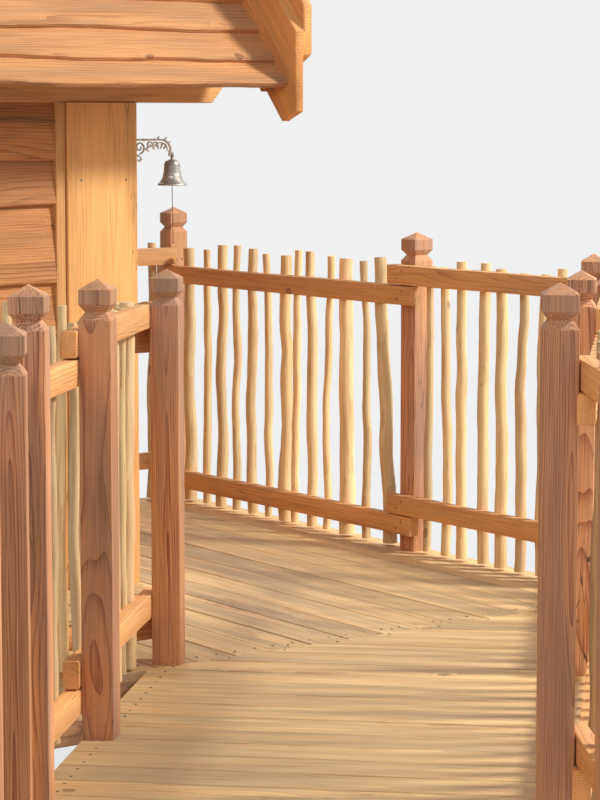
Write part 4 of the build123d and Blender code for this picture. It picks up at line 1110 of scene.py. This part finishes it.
class TREEHOUSE_OT_cabin(bpy.types.Operator):
    """Clads the walls and dresses the corner boards, plates, door and windows"""

    bl_idname = "treehouse.cabin"
    bl_label = "Cabin"

    def execute(self, context):
        self.cladding()
        self.corners()
        walls = ["front_wall", "back_wall", "left_wall", "right_wall"]
        dressed("wall_plate_timbers", ["wall_plates"], "cabin_timber", "corner_wood", 61, 0.004)
        dressed("inner_walls", walls, "cabin_boards", "cladding_wood", 62, 0.002)
        dressed("door_frame", ["door_lining"], "cabin_timber", "corner_wood", 63, 0.002, by_face=True)
        dressed("sashes", ["window_sashes"], "cabin_timber", "corner_wood", 64, 0.002, by_face=True)
        self.door()
        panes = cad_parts["window_panes"].data.materials
        panes.clear()
        panes.append(MATERIALS["pane_glass"])
        return {"FINISHED"}

    def cladding(self):
        """Lapped boards on all four walls, between the corner boards and round the openings."""
        timber = Timber(51)
        lap, strips, barge, in_gable, shortest = 0.02, 0.34, 0.115, 0.16, 0.12
        long_ends = (-CABIN_LENGTH + strips, -strips)
        level, row = DECK, 0
        while level < under_roof(CABIN_DEPTH / 2) - 0.1:
            if row + 1 < len(COURSE_EDGES):
                height = DECK + COURSE_EDGES[row + 1] - level
            else:
                height = settings().course * (1 + 0.08 * sin(row * 2.1))
            top, inset = height + lap, in_gable
            if level < WALL_TOP - 0.02:
                top = min(top, WALL_TOP - level)
                for y, out, opening in ((CLADDING, -1, FRONT_WINDOW), (CABIN_DEPTH - CLADDING, 1, None)):
                    for a, b in self.parts(long_ends, opening, level, height):
                        self.wall_board(timber, (a, y, level), (b, y, level), (0, out, 0), top)
            else:
                rise = (level + height + lap - EAVE_LEVEL) / tan(PITCH) - EAVE_OVERHANG + 0.03
                inset = max(rise, barge)
            if CABIN_DEPTH - 2 * inset >= shortest:
                for x, out, opening in ((-CLADDING, 1, DOORWAY), (-CABIN_LENGTH + CLADDING, -1, GABLE_WINDOW)):
                    for a, b in self.parts((inset, CABIN_DEPTH - inset), opening, level, height):
                        self.wall_board(timber, (x, a, level), (x, b, level), (out, 0, 0), top)
            level += height
            row += 1
        seat(timber.piece("wall_cladding"), "house", "cabin_boards", "cladding_wood")

    def wall_board(self, timber, start, end, out, top):
        lapped(timber, start, end, UP, out, top, 0.036, 0.014, settings().wane)

    def parts(self, ends, opening, level, height):
        """A course's stretches along its wall: one, or those on both sides of an opening."""
        if opening:
            first, wide, sill, head = opening
            if level + height > DECK + sill - CASING and level < DECK + head + CASING:
                sides = [(ends[0], first - CASING), (first + wide + CASING, ends[1])]
                return [(a, b) for a, b in sides if b - a > 0.03]
        return [ends]

    def corners(self):
        """Wide corner boards, each with a narrow strip on its inner edge."""
        timber = Timber(52)
        top = WALL_TOP - 0.0005
        for y, back in ((0, 1), (CABIN_DEPTH, -1)):
            for x, side in ((0, -1), (-CABIN_LENGTH, 1)):
                # The wide board, its narrow strip and the board round the corner: place, then size
                for across, inwards, width, depth, edge, wave in (
                    (0.1485, 0.0225, 0.297, 0.045, 0.004, 0.002),
                    (0.320, 0.0265, 0.040, 0.034, 0.003, 0.001),
                    (0.0225, 0.1025, 0.045, 0.115, 0.004, 0.002),
                ):
                    foot = (x + side * across, y + back * inwards)
                    timber.board((*foot, DECK), (*foot, top), (0, 1, 0), width, depth, edge, wave)
                for level in (0.25, 0.9, 1.5):
                    for across in (0.05, 0.24):
                        nail((x + side * across, y + back * 0.0004, DECK + level), (0, -back, 0))
        seat(timber.piece("corner_planks"), "house", "cabin_boards", "corner_wood", "corner_boards")

    def door(self):
        """A plank door without a handle, its planks parted by dark joints."""
        low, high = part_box("door")
        timber = Timber(53)
        planks, joint, middle = 5, 0.003, (low.x + high.x) / 2
        wide = (high.y - low.y) / planks
        for k in range(planks):
            y = low.y + wide * (k + 0.5)
            ends = (middle, y, low.z), (middle, y, high.z)
            timber.board(*ends, ALONG_X, wide - joint, high.x - low.x, 0.004, 0.0008)
        seat(timber.piece("door_planks"), "house", "cabin_boards", "door_wood", "door")


class TREEHOUSE_OT_roof(bpy.types.Operator):
    """Lays the roof's lapped planks and dresses its boards and beams"""

    bl_idname = "treehouse.roof"
    bl_label = "Roof"

    def execute(self, context):
        self.slope(Timber(71), "roof_front", 1)
        self.slope(Timber(72), "roof_back", -1)
        dressed("ridge_cover", ["ridge_boards"], "cabin_timber", "roof_wood", 73, 0.003)
        dressed("verge_right", ["right_bargeboards"], "cabin_timber", "barge_wood", 74, 0.004)
        dressed("verge_left", ["left_bargeboards"], "cabin_timber", "barge_wood", 75, 0.004)
        dressed("roof_timbers", ["rafters", "ridge_beam"], "cabin_timber", "frame_wood", 76, 0.004)
        return {"FINISHED"}

    def slope(self, timber, node, side):
        """One slope: close boarding below, and planks that lap each other with waney lower edges."""
        up = Vector((0, side * cos(PITCH), sin(PITCH)))
        out = Vector((0, -side * sin(PITCH), cos(PITCH)))
        eave = Vector((0, -EAVE_OVERHANG if side > 0 else CABIN_DEPTH + EAVE_OVERHANG, EAVE_LEVEL))
        left, right = -CABIN_LENGTH - GABLE_OVERHANG + 0.0005, GABLE_OVERHANG - 0.0005
        slope_length = (CABIN_DEPTH / 2 + EAVE_OVERHANG) / cos(PITCH)
        close, thick = 0.155, 0.021
        for reach in steps(SETBACK, slope_length - 0.02, close):
            wide = min(close, slope_length - reach - 0.012)
            base = eave + up * (reach + wide / 2) + out * 0.011
            timber.board((left, *base.yz), (right, *base.yz), out, wide - 0.002, thick, 0.002, 0.0005)
        reach, height = 0.0, FIRST_COURSE
        while reach < slope_length - 0.03:
            base = eave + up * reach + out * (HEAD - 0.0005)
            top = min(height + 0.02, slope_length - reach)
            ends = (left, *base.yz), (right, *base.yz)
            lapped(timber, *ends, up, out, top, BUTT - HEAD, 0.003, 1.6 * settings().wane)
            reach, height = reach + height, COURSE
        seat(timber.piece("planks_" + node), "house", "roof_planks", "roof_wood", node)


class TREEHOUSE_OT_understructure(bpy.types.Operator):
    """Dresses the legs, beams and joists below the decks"""

    bl_idname = "treehouse.understructure"
    bl_label = "Understructure"

    def execute(self, context):
        beams = ["main_beams", "trestle_caps", "leg_braces"]
        dressed("beam_timbers", beams, "frame_timber", "frame_wood", 81, 0.004)
        dressed("joist_timbers", ["floor_joists"], "frame_timber", "frame_wood", 82, 0.003)
        dressed("rim_timbers", ["deck_rim", "bridge_bearers"], "frame_timber", "frame_wood", 83, 0.003, by_face=True)
        for number, node in enumerate(("house_legs", "bridge_legs")):
            self.poles(Timber(84 + number), node)
        return {"FINISHED"}

    def poles(self, timber, node):
        """Peeled poles: round, a little uneven, with the pith in their middle."""
        work = merged(node)
        feet = [f.calc_center_median() for f in work.faces if f.normal.z < -0.99]
        top = max(v.co.z for v in work.verts)
        work.free()
        sides, rows, radius, dents = 20, 22, 0.0945, 0.0035
        for foot in feet:
            seed, shift = timber.chance.uniform(0, 90), timber.chance.uniform(0, 40)
            rings, places = [], []
            for row in range(rows + 1):
                z = top * row / rows
                ring, place = [], []
                for a in round_angles(sides):
                    uneven = noise.noise(Vector((cos(a) * 1.2 + seed, sin(a) * 1.2, z * 1.6)))
                    r = radius - dents + dents * uneven
                    ring.append(Vector((foot.x + r * cos(a), foot.y + r * sin(a), z)))
                    place.append(Vector((z + shift, r * cos(a), r * sin(a))))
                rings.append(ring)
                places.append(place)
            timber.loft(rings, places, timber.chance.random())
        seat(timber.piece("peeled_" + node), "house", "peeled_poles", "pole_wood", node, crease=50)


# The bell's section, outside down and inside up, and the clapper's: radii and heights in millimetres
BELL_PROFILE = [
    (0, 98), (6, 98), (12, 97.2), (18, 95), (24, 90), (27.8, 83.5), (28.8, 79), (30, 78.4), (30.4, 76.6), (29.8, 75.2),
    (30.2, 68), (31.2, 56), (32.5, 46), (34.5, 37), (35.2, 36.2), (35.7, 34.5), (35.5, 33), (38, 26), (42.5, 18.5),
    (48, 11.5), (52, 8), (53.5, 7.4), (55.2, 5), (55.6, 1.8), (55, 0.2), (53, 0), (51.5, 1), (48.5, 7.5), (43, 12.5),
    (37.5, 20), (33.5, 29), (30, 40), (27.8, 55), (26.8, 66), (24.5, 80), (18, 88), (10, 91.5), (0, 92),
]
CLAPPER_PROFILE = [
    (0, 0), (2, 0.5), (2.6, 3), (2.6, 7), (4.5, 8.5), (8.5, 11.5), (11.2, 16), (11.8, 20), (11.2, 24), (8.5, 28.5),
    (4.5, 31.5), (2.6, 34), (2.2, 45), (2.2, 78), (0, 78.5),
]
# The bracket's leaves: root from the wall and from the bar, lean and length
LEAVES = [
    (0.100, -0.022, 2.4, 0.022), (0.075, -0.034, 2.2, 0.018), (0.125, -0.014, 2.9, 0.022), (0.148, -0.012, 3.5, 0.024),
    (0.164, -0.023, 4.0, 0.020), (0.125, 0.000, 0.6, 0.017), (0.154, -0.002, 0.9, 0.019), (0.171, -0.012, 1.2, 0.018),
]


def curve_points(count, place):
    """Points of a curve, from a function of its share from 0 to 1."""
    return [place(k / count) for k in range(count + 1)]


def scroll(middle, outer, inner, first, turns, count=26):
    """A scroll's path, winding in from an outer radius to an inner one."""
    def place(f):
        radius, a = outer * (inner / outer) ** f, first + turns * 2 * pi * f
        return (middle[0] + radius * cos(a), middle[1] + radius * sin(a))

    return curve_points(count, place)


class TREEHOUSE_OT_bell(bpy.types.Operator):
    """Turns the bell and its clapper, and forges the scrolled bracket"""

    bl_idname = "treehouse.bell"
    bl_label = "Bell"

    def execute(self, context):
        self.bell()
        self.clapper()
        self.bracket()
        return {"FINISHED"}

    def turned(self, name, profile, foot, sides):
        """A closed solid of revolution round the bell's axis, its profile measured up from a foot."""
        work = bmesh.new()
        rings = []
        for radius, height in profile:
            radius, level = radius / 1000, foot + height / 1000
            angles = round_angles(sides if radius else 1)
            rings.append([work.verts.new((BELL_X + radius * cos(a), BELL_Y + radius * sin(a), level)) for a in angles])
        for low, high in zip(rings, rings[1:]):
            for k in range(sides):
                j = (k + 1) % sides
                if len(low) == 1:
                    work.faces.new((low[0], high[j], high[k]))
                elif len(high) == 1:
                    work.faces.new((low[k], low[j], high[0]))
                else:
                    work.faces.new((low[k], low[j], high[j], high[k]))
        return from_work(work, name)

    def eye(self, timber, thick, level, outer, inner, root, wide):
        """A flat ring with a stem down to a root level, lying across the bell's axis."""
        angles = [*round_angles(24), 2 * pi]
        for a, b in zip(angles, angles[1:]):
            corners = [(r * sin(t), r * cos(t)) for r, t in ((inner, a), (outer, a), (outer, b), (inner, b))]
            faces = [BELL_X - thick / 2, BELL_X + thick / 2]
            block = [[Vector((x, BELL_Y + y, level + z)) for y, z in corners] for x in faces]
            timber.loft(block, [[Vector()] * 4] * 2, 0.5)
        timber.bar((BELL_X, root), (BELL_X, level - inner - 0.001), wide, thick, 0.001)

    def bell(self):
        shell = self.turned("bell_shell", BELL_PROFILE, BELL_MOUTH, 56)
        tags = Timber(91)
        self.eye(tags, 0.0076, PIN_LEVEL, 0.0092, 0.0039, CROWN - 0.002, 0.011)
        pin, hook = 0.0036, BELL_X - 0.006
        tags.bar((BELL_X - 0.008, CLAPPER_PIN), (BELL_X + 0.005, CLAPPER_PIN), pin, pin, 0.0017)
        tags.bar((hook, CLAPPER_PIN), (hook, BELL_MOUTH + 0.091), pin, pin, 0.001)
        fittings = tags.piece("bell_ears")
        seat(shell, "bell", "bell_metal", "bell_grey", "bell", crease=60)
        seat(fittings, "bell", "bell_metal", "bell_grey", "bell", crease=40)

    def clapper(self):
        ball = self.turned("clapper_ball", CLAPPER_PROFILE, CLAPPER_END, 32)
        ring = Timber(92)
        self.eye(ring, 0.0038, CLAPPER_PIN, 0.0058, 0.0024, CLAPPER_PIN - 0.012, 0.004)
        seat(ball, "clapper", "clapper_iron", "clapper_dark", "clapper", crease=60)
        seat(ring.piece("clapper_eye"), "clapper", "clapper_iron", "clapper_dark", "clapper", crease=40)

    def leaf(self, timber, root, lean, size):
        """A small cast leaf: a pointed blade in the bracket's plane, thicker along its middle."""
        run, side = Vector((sin(lean), 0, cos(lean))), Vector((cos(lean), 0, -sin(lean)))
        start = Vector((root[0], BELL_Y, root[1]))
        rings = []
        for f, w in ((0, 0.10), (0.2, 0.34), (0.45, 0.42), (0.75, 0.24), (1.0, 0.03)):
            half, thick = size * w * 0.5, 0.0028 + 0.0030 * w
            ring = [(1, 0), (0.3, thick), (-0.3, thick), (-1, 0), (-0.3, -thick), (0.3, -thick)]
            rings.append([start + run * size * f + side * half * a + Vector((0, b, 0)) for a, b in ring])
        timber.loft(rings, [[Vector()] * 6] * 5, 0.5)

    def ribbon(self, timber, path, thick, wide, pointed=True):
        """A forged strip with softened edges, along a path given by x and by the height over the bar."""
        rings, places = [], []
        last = len(path) - 1
        for k, (x, z) in enumerate(path):
            before, after = path[max(0, k - 1)], path[min(last, k + 1)]
            run = Vector((after[0] - before[0], 0, after[1] - before[1])).normalized()
            side = Vector((-run.z, 0, run.x))
            taper = min(1.0, 0.35 + 0.65 * min(k, last - k) / 6) if pointed and last > 11 else 1.0
            section = rounded(wide * taper, thick * taper, thick * 0.3 * taper, 1)
            rings.append([Vector((x, BELL_Y + s, BAR_LEVEL + z)) + side * t for s, t in section])
            places.append([Vector((k * 0.01, s, t)) for s, t in section])
        timber.loft(rings, places, 0.5)

    def bracket(self):
        """Wall plate, bar with a twist, a large scroll under it, small scrolls, leaves and the hook."""
        low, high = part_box("bell_bracket")
        timber = Timber(93)
        timber.bar((0.003, low.z + 0.001), (0.003, high.z - 0.001), 0.033, 0.0058, 0.0015, 0.0003)
        timber.bar((0.004, BAR_LEVEL), (0.139, BAR_LEVEL), 0.010, 0.007, 0.002)
        for x in (0.020, 0.066, 0.112):
            timber.bar((x - 0.004, BAR_LEVEL), (x + 0.004, BAR_LEVEL), 0.0118, 0.0095, 0.003)
        bow = curve_points(16, lambda f: (0.139 + 0.045 * sin(1.92 * f), -0.040 + 0.040 * cos(1.92 * f)))
        inner = curve_points(17, lambda f: (0.139 + 0.030 * sin(2.72 * f - 0.9), -0.037 + 0.026 * cos(2.72 * f - 0.9)))
        tail = curve_points(14, lambda f: (0.046 + 0.072 * f, -0.054 + 0.030 * f + 0.010 * sin(f * pi * 0.8)))
        foot = curve_points(8, lambda f: (0.004 + 0.040 * f, -0.060 + 0.006 * sin(f * pi)))
        stay = curve_points(8, lambda f: (0.006 + 0.022 * f, -0.084 + 0.024 * f ** 0.7))
        tie = curve_points(6, lambda f: (0.005 + 0.016 * f, -0.014 - 0.012 * f))
        for path, thick, wide, pointed in (
            (bow, 0.0060, 0.010, False),
            (inner, 0.0045, 0.009, True),
            (scroll((0.046, -0.028), 0.026, 0.007, -pi * 0.5, 1.35, 34), 0.0055, 0.010, True),
            (tail, 0.0055, 0.010, True),
            (foot, 0.0055, 0.010, False),
            (scroll((0.044, -0.0715), 0.0125, 0.005, pi * 0.5, -0.75, 16), 0.0055, 0.009, True),
            (stay, 0.005, 0.009, True),
            (tie, 0.005, 0.009, True),
            (scroll((0.090, -0.0185), 0.0150, 0.004, -pi * 0.2, 1.2, 24), 0.0045, 0.009, True),
            (scroll((0.118, -0.0190), 0.0150, 0.004, -pi * 0.7, -1.2, 24), 0.0045, 0.009, True),
        ):
            self.ribbon(timber, path, thick, wide, pointed)
        for x, z, lean, size in LEAVES:
            self.leaf(timber, (x, BAR_LEVEL + z), lean, size)
        hanger = BELL_X - 0.011
        timber.bar((hanger, PIN_LEVEL + 0.018), (hanger, PIN_LEVEL - 0.005), 0.0095, 0.0056, 0.0015)
        timber.bar((BELL_X - 0.0138, PIN_LEVEL), (BELL_X + 0.0078, PIN_LEVEL), 0.0066, 0.0066, 0.0030)
        seat(timber.piece("scroll_bracket"), "house", "bracket_iron", "bracket_grey", "bell_bracket", crease=50)
        for level in (low.z + 0.016, high.z - 0.05):
            nail((0.0062, BELL_Y, level), ALONG_X)


class TREEHOUSE_OT_screws(bpy.types.Operator):
    """Sets a screw head at every place that the other pieces noted"""

    bl_idname = "treehouse.screws"
    bl_label = "Screws"

    def execute(self, context):
        mesh = bpy.data.meshes.new("screw_points")
        mesh.from_pydata([spot for spot, _ in NAILS], [], [])
        facing = mesh.attributes.new("facing", "FLOAT_VECTOR", "POINT")
        facing.data.foreach_set("vector", [value for _, way in NAILS for value in way])
        source = link(bpy.data.objects.new("screw_points", mesh))
        values = {"Head radius": 0.0050, "Head height": 0.0020, "Sides": 8, "Material": MATERIALS["nail_steel"]}
        seat(grown("screw_heads", source, nail_tree(), values), "house", "bracket_iron", "nail_steel", crease=30)
        return {"FINISHED"}


class TREEHOUSE_PT_panel(bpy.types.Panel):
    """Lists the settings and the steps"""

    bl_label = "Tree house"
    bl_idname = "TREEHOUSE_PT_panel"
    bl_space_type = "VIEW_3D"
    bl_region_type = "UI"
    bl_category = "Tree house"

    def draw(self, context):
        for name in TreeHouseSettings.__annotations__:
            self.layout.prop(context.scene.tree_house, name)
        for step in STEPS:
            self.layout.operator(step.bl_idname)


STEPS = [
    TREEHOUSE_OT_stage,
    TREEHOUSE_OT_cord,
    TREEHOUSE_OT_decks,
    TREEHOUSE_OT_posts,
    TREEHOUSE_OT_railings,
    TREEHOUSE_OT_cabin,
    TREEHOUSE_OT_roof,
    TREEHOUSE_OT_understructure,
    TREEHOUSE_OT_bell,
    TREEHOUSE_OT_screws,
]
CLASSES = [TreeHouseSettings, *STEPS, TREEHOUSE_PT_panel]


def register():
    for item in CLASSES:
        bpy.utils.register_class(item)
    bpy.types.Scene.tree_house = bpy.props.PointerProperty(type=TreeHouseSettings)


def unregister():
    del bpy.types.Scene.tree_house
    for item in reversed(CLASSES):
        bpy.utils.unregister_class(item)


def main():
    register()
    make_materials()
    for step in STEPS:
        group, name = step.bl_idname.split(".")
        getattr(getattr(bpy.ops, group), name)()
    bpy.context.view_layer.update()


if __name__ == "__main__":
    main()
